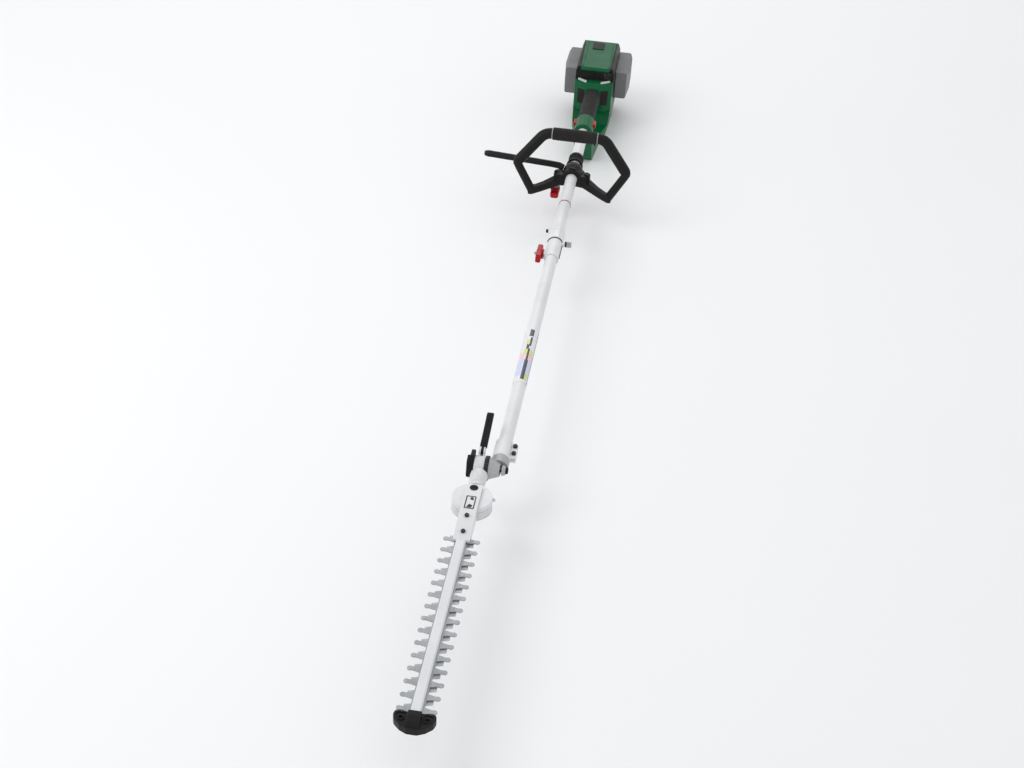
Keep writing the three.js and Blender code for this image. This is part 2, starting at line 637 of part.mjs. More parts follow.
function clampBolt(x, y, height) {
  const head = barZ(x, y, height + GAP, height + 5, 4.2, 4.2, 12);
  return join(head, barZ(x, y, -height - 3, height + 1, BOLT_R, BOLT_R, 12));
}

// ---------------------------------------------------------------- shaft and drive line

const tube = (length) => ringY(0, 0, length, TUBE_R - TUBE_WALL, TUBE_R);

function lowerDriveShaft() {
  const cone = barY(0, BEVEL_R - 4, BEVEL_R, 0, BEVEL_R - 4.3, BEVEL_R - GAP);
  const hub = barY(0, BEVEL_R - 0.1, BEVEL_R + 5, 0, 6.5);
  const shaft = barY(0, BEVEL_R, JOINT_Y - PIVOT_Y - 4, 0, DRIVE_SHAFT_R, DRIVE_SHAFT_R, 12);
  return join(cone, hub, shaft);
}

const MOTOR_Y = CASE_SPLIT_Y - 6;
const MOTOR_LENGTH = 74;

function upperDriveShaft() {
  const length = NOSE_Y + MOTOR_Y - UPPER_TUBE_Y + 4;
  return barY(0, 0, length, 0, DRIVE_SHAFT_R, DRIVE_SHAFT_R, 12);
}

const COUPLER_LENGTH = 30;

// A sleeve that joins the two drive shafts end to end.
function shaftCoupler() {
  const sleeve = barY(0, 0, COUPLER_LENGTH, 0, 8, 8, 16);
  return cut(sleeve, barY(0, -1, COUPLER_LENGTH + 1, 0, DRIVE_SHAFT_R + GAP, DRIVE_SHAFT_R + GAP, 12));
}

// ---------------------------------------------------------------- coupling

const COUPLING_FRONT = -78; // from the joint between the tubes
const COUPLING_REAR = COUPLING_FRONT + COUPLING_LENGTH;
const KNOB_Y = COUPLING_FRONT + 20;
const PIN_Y = COUPLING_FRONT + 70;
const RIM_Y = COUPLING_FRONT + 68;
const REAR_BOLT_Y = COUPLING_REAR - 14;

// A long sleeve over both tube ends, split at the front where the knob's screw pulls it tight.
function couplingSleeve() {
  const body = join(
    barY(0, COUPLING_FRONT, RIM_Y, 0, TUBE_R + 2.4, TUBE_R + 2.8),
    barY(0, RIM_Y - 0.1, COUPLING_REAR - 26, 0, COUPLING_R),
    barY(0, COUPLING_REAR - 26.1, COUPLING_REAR, 0, COUPLING_R, TUBE_R + 2),
    box(-COUPLING_R - 1, 0, KNOB_Y - 9, KNOB_Y + 9, -8, 8),
    barX(0, COUPLING_R + 4, PIN_Y, 0, 7, 6.5, 16),
    barX(-COUPLING_R - 4, 0, REAR_BOLT_Y, 0, 5, 5, 12),
  );
  return cut(
    body,
    barY(0, COUPLING_FRONT - 1, COUPLING_REAR + 1, 0, TUBE_R + GAP),
    box(-COUPLING_R - 9, 0, COUPLING_FRONT - 1, RIM_Y, -0.8, 0.8),
    barX(-COUPLING_R - 9, 0, KNOB_Y, 0, 3 + RUN, 3 + RUN, 12),
    barX(0, COUPLING_R + 9, PIN_Y, 0, 3 + RUN, 3 + RUN, 12),
    barX(-COUPLING_R - 9, 0, REAR_BOLT_Y, 0, BOLT_R + GAP, BOLT_R + GAP, 12),
  );
}

// A wing knob on its screw: the hub turns about X and the two wings stand out from it.
function wingKnob(wing, thick) {
  const hub = barX(-thick, 0, 0, 0, 10, 12, 16);
  const wings = slabX(
    [
      [-wing, -6],
      [-wing + 5, -9.5],
      [wing - 5, -9.5],
      [wing, -6],
      [wing, 6],
      [wing - 5, 9.5],
      [-wing + 5, 9.5],
      [-wing, 6],
    ],
    -thick,
    -5,
  );
  const screw = join(barX(-thick - 5, -thick + 1, 0, 0, 3, 3, 12), barX(-1, 5, 0, 0, 3, 3, 12));
  return join(hub, wings, screw);
}

function couplingPin() {
  const grip = barX(COUPLING_R + 4 + GAP, COUPLING_R + 18, 0, 0, 6.5, 5.5, 16);
  return join(grip, barX(COUPLING_R - 2, COUPLING_R + 5, 0, 0, 3, 3, 12));
}

// ---------------------------------------------------------------- loop handle

const LOOP_REACH = [
  [LOOP_HALF_WIDTH * 0.706, -42, -27],
  [LOOP_HALF_WIDTH, -38, 37],
  [LOOP_HALF_WIDTH * 0.54, -12, LOOP_HEIGHT],
];
const CORNER_R = 12;

const HANDLE_KNOB = [-36, -13, -31.5]; // top of the knob, under the left arm
const HANDLE_BOLT = [34, -10, 8];
const LUG_HALF = 42;

function clampHalf(side) {
  const half = side > 0 ? box(-90, 90, -90, 90, GAP, 90) : box(-90, 90, -90, 90, -90, -GAP);
  const lugs = box(-LUG_HALF, LUG_HALF, -24, 6, -8, 8);
  const barrel = barY(0, -HANDLE_CLAMP_LENGTH / 2, HANDLE_CLAMP_LENGTH / 2, 0, HANDLE_CLAMP_R);
  return shared(join(barrel, lugs), half);
}

const handleBore = () => barY(0, -HANDLE_CLAMP_LENGTH, HANDLE_CLAMP_LENGTH, 0, TUBE_R + RUN);
const knobHole = () => barZ(HANDLE_KNOB[0], HANDLE_KNOB[1], -60, 60, 3 + RUN, 3 + RUN, 12);
const boltHole = () => barZ(HANDLE_BOLT[0], HANDLE_BOLT[1], -60, 60, BOLT_R + GAP, BOLT_R + GAP, 12);

function handleClampTop() {
  return cut(clampHalf(1), handleBore(), knobHole(), boltHole());
}

// The wing-shaped bracket: the clamp's lower half with an arm to each lower corner of the loop.
function handleBracket() {
  const [x, y, z] = LOOP_REACH[0];
  const arms = [-1, 1].flatMap((side) => [
    bar([side * (HANDLE_CLAMP_R - 5), -4, -13], [side * x, y, z], 12.5, 9.5, 8),
    barY(side * x, y - 10, y + 10, z, CORNER_R, CORNER_R, 16),
  ]);
  const headroom = box(-60, 60, -60, 60, -GAP, 60);
  const loopEnds = [-1, 1].map((side) => {
    return bar([side * x, y, z], mirrored(LOOP_REACH[1], side), LOOP_LEG_R + GAP);
  });
  const body = cut(join(clampHalf(-1), ...arms), headroom);
  return cut(body, handleBore(), knobHole(), boltHole(), ...loopEnds);
}

const mirrored = ([x, y, z], side) => [side * x, y, z];

// A path through the points with each inner corner rounded off.
function roundedPath(points, radius) {
  const path = new THREE.CurvePath();
  const corners = points.map((p) => new THREE.Vector3(...p));
  let from = corners[0];
  corners.slice(1, -1).forEach((corner, i) => {
    const back = from.clone().sub(corner).normalize().multiplyScalar(radius).add(corner);
    const ahead = corners[i + 2].clone().sub(corner).normalize().multiplyScalar(radius).add(corner);
    path.add(new THREE.LineCurve3(from, back));
    path.add(new THREE.QuadraticBezierCurve3(back, corner, ahead));
    from = ahead;
  });
  path.add(new THREE.LineCurve3(from, corners.at(-1)));
  return path;
}

const LOOP_LEG_R = 9.5;
const LOOP_BEND = 16;

function loopHandle() {
  const [bottom, outer, top] = LOOP_REACH;
  const corners = [mirrored(outer, -1), mirrored(top, -1), top, outer];
  const path = roundedPath(corners, LOOP_BEND);
  const circle = new THREE.Shape(arc(0, 0, LOOP_TUBE_R, 0, 324, 9).map(([a, b]) => new THREE.Vector2(a, b)));
  const sweep = new THREE.ExtrudeGeometry(circle, { steps: 22, extrudePath: path, bevelEnabled: false });
  const legs = [-1, 1].flatMap((side) => [
    bar(mirrored(bottom, side), mirrored(outer, side), LOOP_LEG_R, LOOP_LEG_R, 16),
    solid(new THREE.SphereGeometry(LOOP_TUBE_R, 10, 7).translate(...mirrored(outer, side))),
  ]);
  return join(solid(sweep), ...legs);
}

const LOOP_GRIP_HALF = LOOP_REACH[2][0] - LOOP_BEND - 2;

// The soft sleeve on the loop's top bar.
function loopGrip() {
  const [, y, z] = LOOP_REACH[2];
  const sleeve = barX(-LOOP_GRIP_HALF, LOOP_GRIP_HALF, y, z, LOOP_TUBE_R + GAP + 1.8);
  return cut(sleeve, barX(-LOOP_GRIP_HALF - 1, LOOP_GRIP_HALF + 1, y, z, LOOP_TUBE_R + GAP));
}

// The barrier bar keeps the user's left leg away from the cutter.
function barrierBar() {
  const root = [-HANDLE_CLAMP_R - 1, 14, 9];
  const tip = [-BARRIER_REACH, 42, 8];
  const rod = bar(root, tip, BARRIER_R, BARRIER_R - 1, 16);
  const tipEnd = solid(new THREE.SphereGeometry(BARRIER_R - 1, 12, 6).translate(...tip));
  const keepOut = barY(0, -HANDLE_CLAMP_LENGTH, HANDLE_CLAMP_LENGTH, 0, HANDLE_CLAMP_R + GAP);
  return cut(join(rod, tipEnd), keepOut, box(-LUG_HALF - GAP, 0, -24 - GAP, 6 + GAP, -8 - GAP, 8 + GAP));
}

// ---------------------------------------------------------------- carrying clamp

function carryBand() {
  const band = ringY(0, 0, BAND_LENGTH, TUBE_R + GAP, TUBE_R + 3);
  const ribs = [0, BAND_LENGTH - 9].map((y) => ringY(0, y, y + 9, TUBE_R + GAP, TUBE_R + 4.5));
  return join(band, ...ribs);
}

const EYE_WIRE_R = 2;
const EYE_R = TUBE_R + 4.4;

// A wire ring round the tube in front of the band, with a small eyelet for the harness hook.
function carryEye() {
  const ring = new THREE.TorusGeometry(EYE_R, EYE_WIRE_R, 6, 20).rotateX(Math.PI / 2);
  const eyelet = new THREE.TorusGeometry(5, EYE_WIRE_R, 6, 12).rotateX(Math.PI / 2);
  eyelet.translate(EYE_R * 0.77 + 4, 0, -EYE_R * 0.64 - 4);
  return join(solid(ring), solid(eyelet)).translate([0, -EYE_WIRE_R - GAP, 0]);
}

// ---------------------------------------------------------------- power head

// Moves each side of an outline inwards by d (outwards where d is negative).
function inset(points, d) {
  const n = points.length;
  const area = points.reduce((sum, [x, y], i) => {
    const [u, v] = points[(i + 1) % n];
    return sum + x * v - u * y;
  }, 0);
  const turn = Math.sign(area) * d;
  const lines = points.map(([x, y], i) => {
    const [u, v] = points[(i + 1) % n];
    const length = Math.hypot(u - x, v - y);
    const normal = [(-(v - y) / length) * turn, ((u - x) / length) * turn];
    return { at: [x + normal[0], y + normal[1]], along: [u - x, v - y] };
  });
  return lines.map((line, i) => {
    const last = lines[(i + n - 1) % n];
    const cross = last.along[0] * line.along[1] - last.along[1] * line.along[0];
    const [dx, dy] = [line.at[0] - last.at[0], line.at[1] - last.at[1]];
    const t = (dx * line.along[1] - dy * line.along[0]) / cross;
    return [last.at[0] + last.along[0] * t, last.at[1] + last.along[1] * t];
  });
}

const GRIP_FRONT = NOSE_SOCKET + 4;
const GRIP_REAR = GRIP_FRONT + GRIP_LENGTH - 6;
const NECKLINE = GRIP_REAR + 6; // where the grip runs into the body
const HEAD_TOP = 70;
const BAND_Y = NECKLINE + 25; // the dark band's upright face, between the shoulders and the cover
const COVER_FRONT_Z = 62;
const COVER_EDGE_Z = 54;
const HALF = HEAD_HALF_WIDTH;
const SHOULDER_SLOPE = 0.5; // how steeply the shoulders lean back from the grip outwards

const HEAD_SIDE = [
  [14, -12],
  [NECKLINE - 4, -12],
  [NECKLINE - 2, 18],
  [NECKLINE + 6, 30],
  [BAND_Y - 1, 32],
  [BAND_Y + 1, COVER_FRONT_Z - 4],
  [BAND_Y + 5, COVER_FRONT_Z],
  [HEAD_LENGTH - 22, HEAD_TOP],
  [HEAD_LENGTH - 8, HEAD_TOP - 8],
  [HEAD_LENGTH, 42],
  [HEAD_LENGTH, -62],
  [HEAD_LENGTH - 22, -96],
  [FOOT_REAR, -FOOT_DROP],
  [FOOT_FRONT, -FOOT_DROP],
  [FOOT_FRONT - 12, -FOOT_DROP + 14],
];

const HAND_SPACE = [
  [FOOT_FRONT - 2, -11],
  [NECKLINE - 12, -11],
  [NECKLINE + 4, -34],
  [NECKLINE + 8, -54],
  [NECKLINE - 6, -74],
  [FOOT_FRONT + 26, -80],
  [FOOT_FRONT + 12, -70],
];

const HEAD_PLAN = [
  [22, 0],
  [22, NOSE_SOCKET],
  [30, FOOT_FRONT + 84],
  [44, NECKLINE - 7],
  [47, NECKLINE + 13],
  [HALF, CASE_SPLIT_Y + 8],
  [HALF, HEAD_LENGTH],
];

const HEAD_FRONT = [
  [38, -FOOT_DROP],
  [HALF, -72],
  [HALF, 46],
  [42, HEAD_TOP],
];

const bothSides = (points) => [...points, ...points.map(([x, y]) => [-x, y]).reverse()];

// The head without its grip and nose, moved in by d on every face.
function headBody(d) {
  const side = slabX(inset(HEAD_SIDE, d), -90, 90);
  const plan = slabZ(inset(bothSides(HEAD_PLAN), d), -200, 200);
  const front = slabY(inset(bothSides(HEAD_FRONT), d), -9, HEAD_LENGTH + 9);
  const hand = slabX(inset(HAND_SPACE, -d), -90, 90);
  const inner = GRIP_R - d;
  const wall = NECKLINE - 3 + 2 * d;
  const besideGrip = [-1, 1].map((s) => {
    const space = [[inner, -9], [90, -9], [90, wall + SHOULDER_SLOPE * (90 - inner)], [inner, wall]];
    return slabZ(space.map(([x, y]) => [s * x, y]), -GRIP_R - 26, 90);
  });
  return cut(shared(side, plan, front), hand, ...besideGrip);
}

const COVER_PLAN = [
  [35.5, NECKLINE],
  [41, HEAD_LENGTH + 9],
];

// The cover's own part of the head, grown by d at its sides, down to the height given.
function coverSpace(d, floor) {
  return shared(slabZ(inset(bothSides(COVER_PLAN), -d), floor, 200), box(-90, 90, NECKLINE, 600, 0, 200));
}

function topCover() {
  const shell = shared(headBody(0), coverSpace(0, COVER_EDGE_Z));
  const hollow = shared(headBody(SHELL_WALL), coverSpace(-3, COVER_EDGE_Z - 9));
  return cut(shell, hollow);
}

const BATTERY_Y = HEAD_LENGTH - 116;
const BATTERY_TONGUE = 5;
const BATTERY_LOW = -BATTERY_HEIGHT / 2 - 2;
const BATTERY_HIGH = BATTERY_LOW + BATTERY_HEIGHT;

const BUTTON_Y = 41;
const BUTTON_TRAVEL = 3;
const BUTTON_FACE = NOSE_R + 3.5;
const TRIGGER_HALF = 5.5;
const TRIGGER_PIVOT_Y = GRIP_FRONT + 50;
const TRIGGER_PIVOT_Z = -12;

function headHousing() {
  const outer = join(
    headBody(0),
    barY(0, 0, NOSE_SOCKET, 0, NOSE_R, NOSE_R, 32),
    barY(0, NOSE_SOCKET - 1, NECKLINE + 6, 0, GRIP_R, GRIP_R, 32),
  );
  const motorBay = box(-38, 38, BATTERY_Y - 12, HEAD_LENGTH, -200, 200);
  const frontBay = box(-90, 90, -9, BATTERY_Y - 12, -200, 200);
  const inner = shared(headBody(SHELL_WALL), join(motorBay, frontBay));
  const bays = [-1, 1].map((side) => {
    const floor = side * (HALF - BATTERY_TONGUE - RUN);
    const low = BATTERY_LOW - RUN;
    const [near, far] = [Math.min(floor, side * 90), Math.max(floor, side * 90)];
    return box(near, far, BATTERY_Y - RUN, 500, low, BATTERY_HIGH + RUN);
  });
  const triggerSlot = box(
    -TRIGGER_HALF - RUN,
    TRIGGER_HALF + RUN,
    GRIP_FRONT + 2,
    TRIGGER_PIVOT_Y + 8,
    -GRIP_R - 9,
    0,
  );
  const buttons = [-1, 1].map((side) => {
    const deep = side * (BUTTON_FACE - 9 - BUTTON_TRAVEL);
    const [x0, x1] = [Math.min(deep, side * 40), Math.max(deep, side * 40)];
    return box(x0, x1, BUTTON_Y - 11 - RUN, BUTTON_Y + 11 + RUN, -1 - RUN, 11 + RUN);
  });
  return cut(
    outer,
    inner,
    coverSpace(GAP, COVER_EDGE_Z - GAP),
    barY(0, -1, NOSE_SOCKET, 0, TUBE_R + GAP),
    barY(0, NOSE_SOCKET - 1, NECKLINE + 30, 0, GRIP_R - 3.5),
    triggerSlot,
    ...bays,
    ...buttons,
  );
}

// One side of the housing: the shells meet at X = 0, with a lap of the left one along the foot.
function sideSpace(side) {
  const grow = side > 0 ? GAP : 0;
  const lapTop = -FOOT_DROP + 1.6 + grow;
  const lap = box(-1, 8 + grow, FOOT_FRONT + 4 - grow, FOOT_REAR - 4 + grow, -FOOT_DROP - 1, lapTop);
  if (side > 0) return cut(box(GAP / 2, 90, -50, 600, -200, 200), lap);
  return join(box(-90, -GAP / 2, -50, 600, -200, 200), lap);
}

const CASE_SPLIT = [
  [CASE_SPLIT_Y + 24, -200],
  [CASE_SPLIT_Y + 24, -40],
  [CASE_SPLIT_Y - 10, 8],
  [BAND_Y - 4, 29],
  [BAND_Y - 4, 200],
  [600, 200],
  [600, -200],
];

// The housing is split down the middle, and across where the green front meets the dark case.
function quarter(side, rear) {
  const rearSpace = slabX(rear ? CASE_SPLIT : inset(CASE_SPLIT, -GAP), -91, 91);
  const space = rear ? shared(sideSpace(side), rearSpace) : cut(sideSpace(side), rearSpace);
  return shared(HOUSING, space);
}

// The soft sleeve round the grip, open underneath for the trigger.
function gripSleeve() {
  const sleeve = ringY(0, GRIP_FRONT, GRIP_REAR, GRIP_R + GAP, GRIP_R + GAP + GRIP_SLEEVE);
  const window = box(-TRIGGER_HALF - 2, TRIGGER_HALF + 2, GRIP_FRONT - 1, TRIGGER_PIVOT_Y + 12, -50, 0);
  return cut(sleeve, window, headBody(-GAP));
}

function trigger() {
  const side = [
    [TRIGGER_PIVOT_Y + 4, TRIGGER_PIVOT_Z - 4],
    [TRIGGER_PIVOT_Y + 4, TRIGGER_PIVOT_Z + 3],
    [TRIGGER_PIVOT_Y - 6, TRIGGER_PIVOT_Z + 3],
    [GRIP_FRONT + 8, TRIGGER_PIVOT_Z - 2],
    [GRIP_FRONT + 6, TRIGGER_PIVOT_Z - 18],
    [GRIP_FRONT + 10, TRIGGER_PIVOT_Z - 21],
    [GRIP_FRONT + 26, TRIGGER_PIVOT_Z - 14],
    [TRIGGER_PIVOT_Y - 8, TRIGGER_PIVOT_Z - 10],
  ];
  return slabX(side, -TRIGGER_HALF, TRIGGER_HALF);
}

function lockButton(side) {
  const inner = BUTTON_FACE - 9;
  return box(
    Math.min(side * inner, side * BUTTON_FACE),
    Math.max(side * inner, side * BUTTON_FACE),
    BUTTON_Y - 11,
    BUTTON_Y + 11,
    -1,
    11,
  );
}

// A slide-in pack: a bevelled block outside the case and a flat tongue in the case's bay.
function battery(side) {
  const face = HALF + GAP;
  const plan = [
    [HALF - BATTERY_TONGUE, BATTERY_Y],
    [face, BATTERY_Y],
    [face, BATTERY_Y - 2],
    [face + BATTERY_DEPTH - 5, BATTERY_Y - 2],
    [face + BATTERY_DEPTH, BATTERY_Y + 45],
    [face + BATTERY_DEPTH - 1, BATTERY_Y + BATTERY_LENGTH - 16],
    [face + BATTERY_DEPTH - 5, BATTERY_Y + BATTERY_LENGTH],
    [HALF - BATTERY_TONGUE, BATTERY_Y + BATTERY_LENGTH],
  ].map(([x, y]) => [side * x, y]);
  const ends = [
    [HALF - BATTERY_TONGUE, BATTERY_LOW],
    [face + BATTERY_DEPTH - 8, BATTERY_LOW],
    [face + BATTERY_DEPTH, BATTERY_LOW + 8],
    [face + BATTERY_DEPTH, BATTERY_HIGH - 8],
    [face + BATTERY_DEPTH - 8, BATTERY_HIGH],
    [HALF - BATTERY_TONGUE, BATTERY_HIGH],
  ].map(([x, z]) => [side * x, z]);
  return shared(slabZ(plan, -90, 90), slabY(ends, BATTERY_Y - 9, BATTERY_Y + BATTERY_LENGTH + 9));
}

const COVER_RUN = HEAD_LENGTH - 22 - (BAND_Y + 5);
const COVER_SLOPE = Math.atan2(HEAD_TOP - COVER_FRONT_Z, COVER_RUN);
const BADGE_WIDTH = 29;
const BADGE_LENGTH = 34;
const BADGE_FROM_END = 51;

function badgePlate() {
  const y = HEAD_LENGTH - BADGE_FROM_END;
  const z = COVER_FRONT_Z + (y - BAND_Y - 5) * Math.tan(COVER_SLOPE);
  const plate = new THREE.BoxGeometry(BADGE_WIDTH, BADGE_LENGTH, 1.4);
  plate.translate(-4, 0, 0.7 + GAP).rotateX(COVER_SLOPE);
  return solid(plate.translate(0, y, z));
}

// The motor lies on the shaft's axis: a can with its front plate, a stator ring and a rotor.
function motorCan() {
  const can = ringY(0, MOTOR_Y, MOTOR_Y + MOTOR_LENGTH, MOTOR_R, MOTOR_R + 3);
  const plate = ringY(0, MOTOR_Y, MOTOR_Y + 5, DRIVE_SHAFT_R + 3, MOTOR_R + 1);
  return join(can, plate);
}

const motorStator = () => ringY(0, MOTOR_Y + 12, MOTOR_Y + 52, 16, MOTOR_R - GAP);

function motorRotor() {
  const shaft = barY(0, MOTOR_Y + 6, MOTOR_Y + MOTOR_LENGTH - 4, 0, 5);
  const core = barY(0, MOTOR_Y + 12, MOTOR_Y + 52, 0, 15.4);
  const fan = Array.from({ length: 7 }, (_, i) =>
    box(4, MOTOR_R - 3, MOTOR_Y + 56, MOTOR_Y + 68, -0.9, 0.9).rotate([0, (i * 360) / 7, 0]),
  );
  return join(shaft, core, barY(0, MOTOR_Y + 56, MOTOR_Y + 58, 0, MOTOR_R - 3), ...fan);
}

const controlBoard = () => box(-28, 28, CASE_SPLIT_Y + 34, HEAD_LENGTH - 20, -56, -54);

// ---------------------------------------------------------------- assembly

const bladeSide = station(0);
bladeSide.position.x = BLADE_X;
piece("cover_bar", coverBar(), WHITE_PAINT, bladeSide);
piece("comb_plate", combPlate(), STEEL, bladeSide);
piece("cutter_blade", cutterBlade(), STEEL, bladeSide);
piece("backing_bar", backingBar(), DARK_STEEL, bladeSide);
piece("tip_guard", tipGuard(), BLACK, bladeSide);
piece("support_plate", supportPlate(), WHITE_PAINT, bladeSide);
SCREWS_Y.forEach((y, i) => {
  piece(["plate_screw_front", "plate_screw_rear"][i], plateScrew(y), DARK_STEEL, bladeSide);
});

const gearbox = station(GEARBOX_Y);
gearbox.position.x = BLADE_X;
piece("gearbox_upper", gearboxUpper(), WHITE_PAINT, gearbox);
piece("gearbox_lower", gearboxLower(), CASTING, gearbox);
piece("crank_gear", crankGear(), STEEL, gearbox);
piece("connecting_rod", connectingRod(), STEEL, gearbox);
piece("neck_shaft", neckShaft(), STEEL, gearbox);

const pivot = station(PIVOT_Y);
piece("cross_shaft", crossShaft(), STEEL, pivot);
piece("swivel_arm", swivelArm(), SILVER, pivot);
piece("latch_cover", latchCover(), BLACK, pivot);
piece("release_lever", releaseLever(), BLACK, pivot);
piece("index_pin", indexPin(), DARK_STEEL, pivot);
piece("index_plate", indexPlate(), DARK_STEEL, pivot);
piece("elbow_casting", elbowCasting(), CASTING, pivot);
piece("elbow_cap", elbowCap(), BLACK, pivot);
const tubeClamp = splitClamp(CLAMP_FRONT + GAP, CLAMP_REAR, CLAMP_R, TUBE_R + GAP, 1, CLAMP_BOLTS_Y, 6);
piece("tube_clamp", tubeClamp, CASTING, pivot);
CLAMP_BOLTS_Y.forEach((y, i) => {
  piece(["clamp_bolt_rear", "clamp_bolt_front"][i], clampBolt(CLAMP_R + 4, y, 6), BLACK, pivot);
});
piece("lower_drive_shaft", lowerDriveShaft(), STEEL, pivot);

const lowerTube = station(LOWER_TUBE_Y);
piece("lower_tube", tube(LOWER_TUBE_LENGTH), WHITE_PAINT, lowerTube);
const LABEL_Y = 225;
const LABEL_LENGTH = 181;
piece("shaft_label", ringY(0, LABEL_Y, LABEL_Y + LABEL_LENGTH, TUBE_R + 0.1, TUBE_R + 0.5), LABEL, lowerTube);

const joint = station(JOINT_Y);
piece("coupling_sleeve", couplingSleeve(), CASTING, joint);
const knobPlace = station(JOINT_Y + KNOB_Y);
knobPlace.position.x = -COUPLING_R - 1 - RUN;
piece("coupling_knob", wingKnob(28, 15), RED, knobPlace);
const pinPlace = station(JOINT_Y + PIN_Y);
piece("coupling_pin", couplingPin(), SILVER, pinPlace);
const couplingBolt = join(
  barX(-COUPLING_R - 9, -COUPLING_R - 4 - GAP, REAR_BOLT_Y, 0, 4, 4, 12),
  barX(-COUPLING_R - 5, -TUBE_R - 1, REAR_BOLT_Y, 0, BOLT_R, BOLT_R, 12),
);
piece("coupling_bolt", couplingBolt, BLACK, joint);
const couplerPlace = station(JOINT_Y - COUPLER_LENGTH / 2);
piece("shaft_coupler", shaftCoupler(), DARK_STEEL, couplerPlace);

const upperTube = station(UPPER_TUBE_Y);
piece("upper_tube", tube(UPPER_TUBE_LENGTH), WHITE_PAINT, upperTube);
piece("upper_drive_shaft", upperDriveShaft(), STEEL, upperTube);
const RING_Y = 156;
piece("marker_ring", ringY(0, RING_Y, RING_Y + 3, TUBE_R + 0.1, TUBE_R + 0.6), RED, upperTube);
const BAND_GAP = 22;
const band = station(HANDLE_CLAMP_Y + HANDLE_CLAMP_LENGTH / 2 + BAND_GAP);
piece("carry_band", carryBand(), BLACK, band);
piece("carry_eye", carryEye(), BLACK, band);

const handle = station(HANDLE_CLAMP_Y);
piece("handle_clamp_top", handleClampTop(), BLACK, handle);
piece("handle_bracket", handleBracket(), BLACK, handle);
piece("loop_handle", loopHandle(), BLACK, handle);
piece("loop_grip", loopGrip(), SOFT_BLACK, handle);
piece("barrier_bar", barrierBar(), BLACK, handle);
const handleKnob = wingKnob(22, 17).rotate([0, -90, 0]).translate(HANDLE_KNOB);
piece("handle_knob", handleKnob, RED, handle);
const handleBolt = join(
  barZ(HANDLE_BOLT[0], HANDLE_BOLT[1], HANDLE_BOLT[2] + GAP, HANDLE_BOLT[2] + 5, 5, 5, 12),
  barZ(HANDLE_BOLT[0], HANDLE_BOLT[1], -HANDLE_BOLT[2] + 2, HANDLE_BOLT[2] + 1, BOLT_R, BOLT_R, 12),
);
piece("handle_bolt", handleBolt, DARK_STEEL, handle);

const head = station(NOSE_Y);
const HOUSING = headHousing();
piece("handle_shell_left", quarter(-1, false), GREEN, head);
piece("handle_shell_right", quarter(1, false), GREEN, head);
piece("motor_case_left", quarter(-1, true), BLACK, head);
piece("motor_case_right", quarter(1, true), BLACK, head);
piece("top_cover", topCover(), GREEN, head);
piece("badge_plate", badgePlate(), BLACK, head);
piece("grip_sleeve", gripSleeve(), SOFT_BLACK, head);
piece("trigger", trigger(), BLACK, head);
piece("lock_button_left", lockButton(-1), RED, head);
piece("lock_button_right", lockButton(1), RED, head);
piece("battery_left", battery(-1), BATTERY_GREY, head);
piece("battery_right", battery(1), BATTERY_GREY, head);
piece("motor_can", motorCan(), SILVER, head);
piece("motor_stator", motorStator(), COPPER, head);
piece("motor_rotor", motorRotor(), STEEL, head);
piece("control_board", controlBoard(), BOARD_GREEN, head);

export default trimmer;
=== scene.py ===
"""A long-reach cordless hedge trimmer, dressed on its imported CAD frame.

Shapes are made in millimetres at a station of the tool (tip of the cutter bar, gearbox, tilt axis,
coupling, handle clamp, nose of the power head) and set down in metres in the frame's own axes:
+Z up, the shaft along Y with the cutter towards -Y, the teeth spread along X.
"""
import json
import math

import bmesh
import bpy
from mathutils import Matrix, Vector


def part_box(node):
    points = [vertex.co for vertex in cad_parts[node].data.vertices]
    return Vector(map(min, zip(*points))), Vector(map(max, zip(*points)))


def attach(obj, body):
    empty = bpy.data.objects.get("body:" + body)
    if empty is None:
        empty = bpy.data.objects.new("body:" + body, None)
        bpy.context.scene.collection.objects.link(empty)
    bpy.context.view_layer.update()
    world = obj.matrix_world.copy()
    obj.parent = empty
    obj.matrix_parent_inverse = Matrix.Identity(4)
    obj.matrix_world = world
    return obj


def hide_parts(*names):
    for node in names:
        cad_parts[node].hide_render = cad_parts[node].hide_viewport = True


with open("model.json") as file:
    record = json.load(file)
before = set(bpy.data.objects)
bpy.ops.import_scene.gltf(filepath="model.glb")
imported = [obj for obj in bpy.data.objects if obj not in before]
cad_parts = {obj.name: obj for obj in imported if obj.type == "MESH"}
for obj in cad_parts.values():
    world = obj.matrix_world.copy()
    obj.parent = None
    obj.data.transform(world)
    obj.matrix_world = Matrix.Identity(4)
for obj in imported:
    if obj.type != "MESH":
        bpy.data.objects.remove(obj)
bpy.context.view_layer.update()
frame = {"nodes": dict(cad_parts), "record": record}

MM = 0.001


# ---------------------------------------------------------------- camera, floor and light

CAMERA_RIGHT = Vector((0.98791, 0.14629, 0.05134))
CAMERA_UP = Vector((-0.12642, 0.56839, 0.81299))
CAMERA_PLACE = (0.27279, -3.86761, 1.96208)
FOCAL_LENGTH, SENSOR_WIDTH = 59.32, 36


def set_camera():
    data = bpy.data.cameras.new("camera")
    data.sensor_width = SENSOR_WIDTH
    data.lens = FOCAL_LENGTH
    data.clip_end = 60
    camera = bpy.data.objects.new("camera", data)
    turn = Matrix((CAMERA_RIGHT, CAMERA_UP, CAMERA_RIGHT.cross(CAMERA_UP))).transposed().to_4x4()
    camera.matrix_world = Matrix.Translation(CAMERA_PLACE) @ turn
    bpy.context.scene.collection.objects.link(camera)
    bpy.context.scene.camera = camera


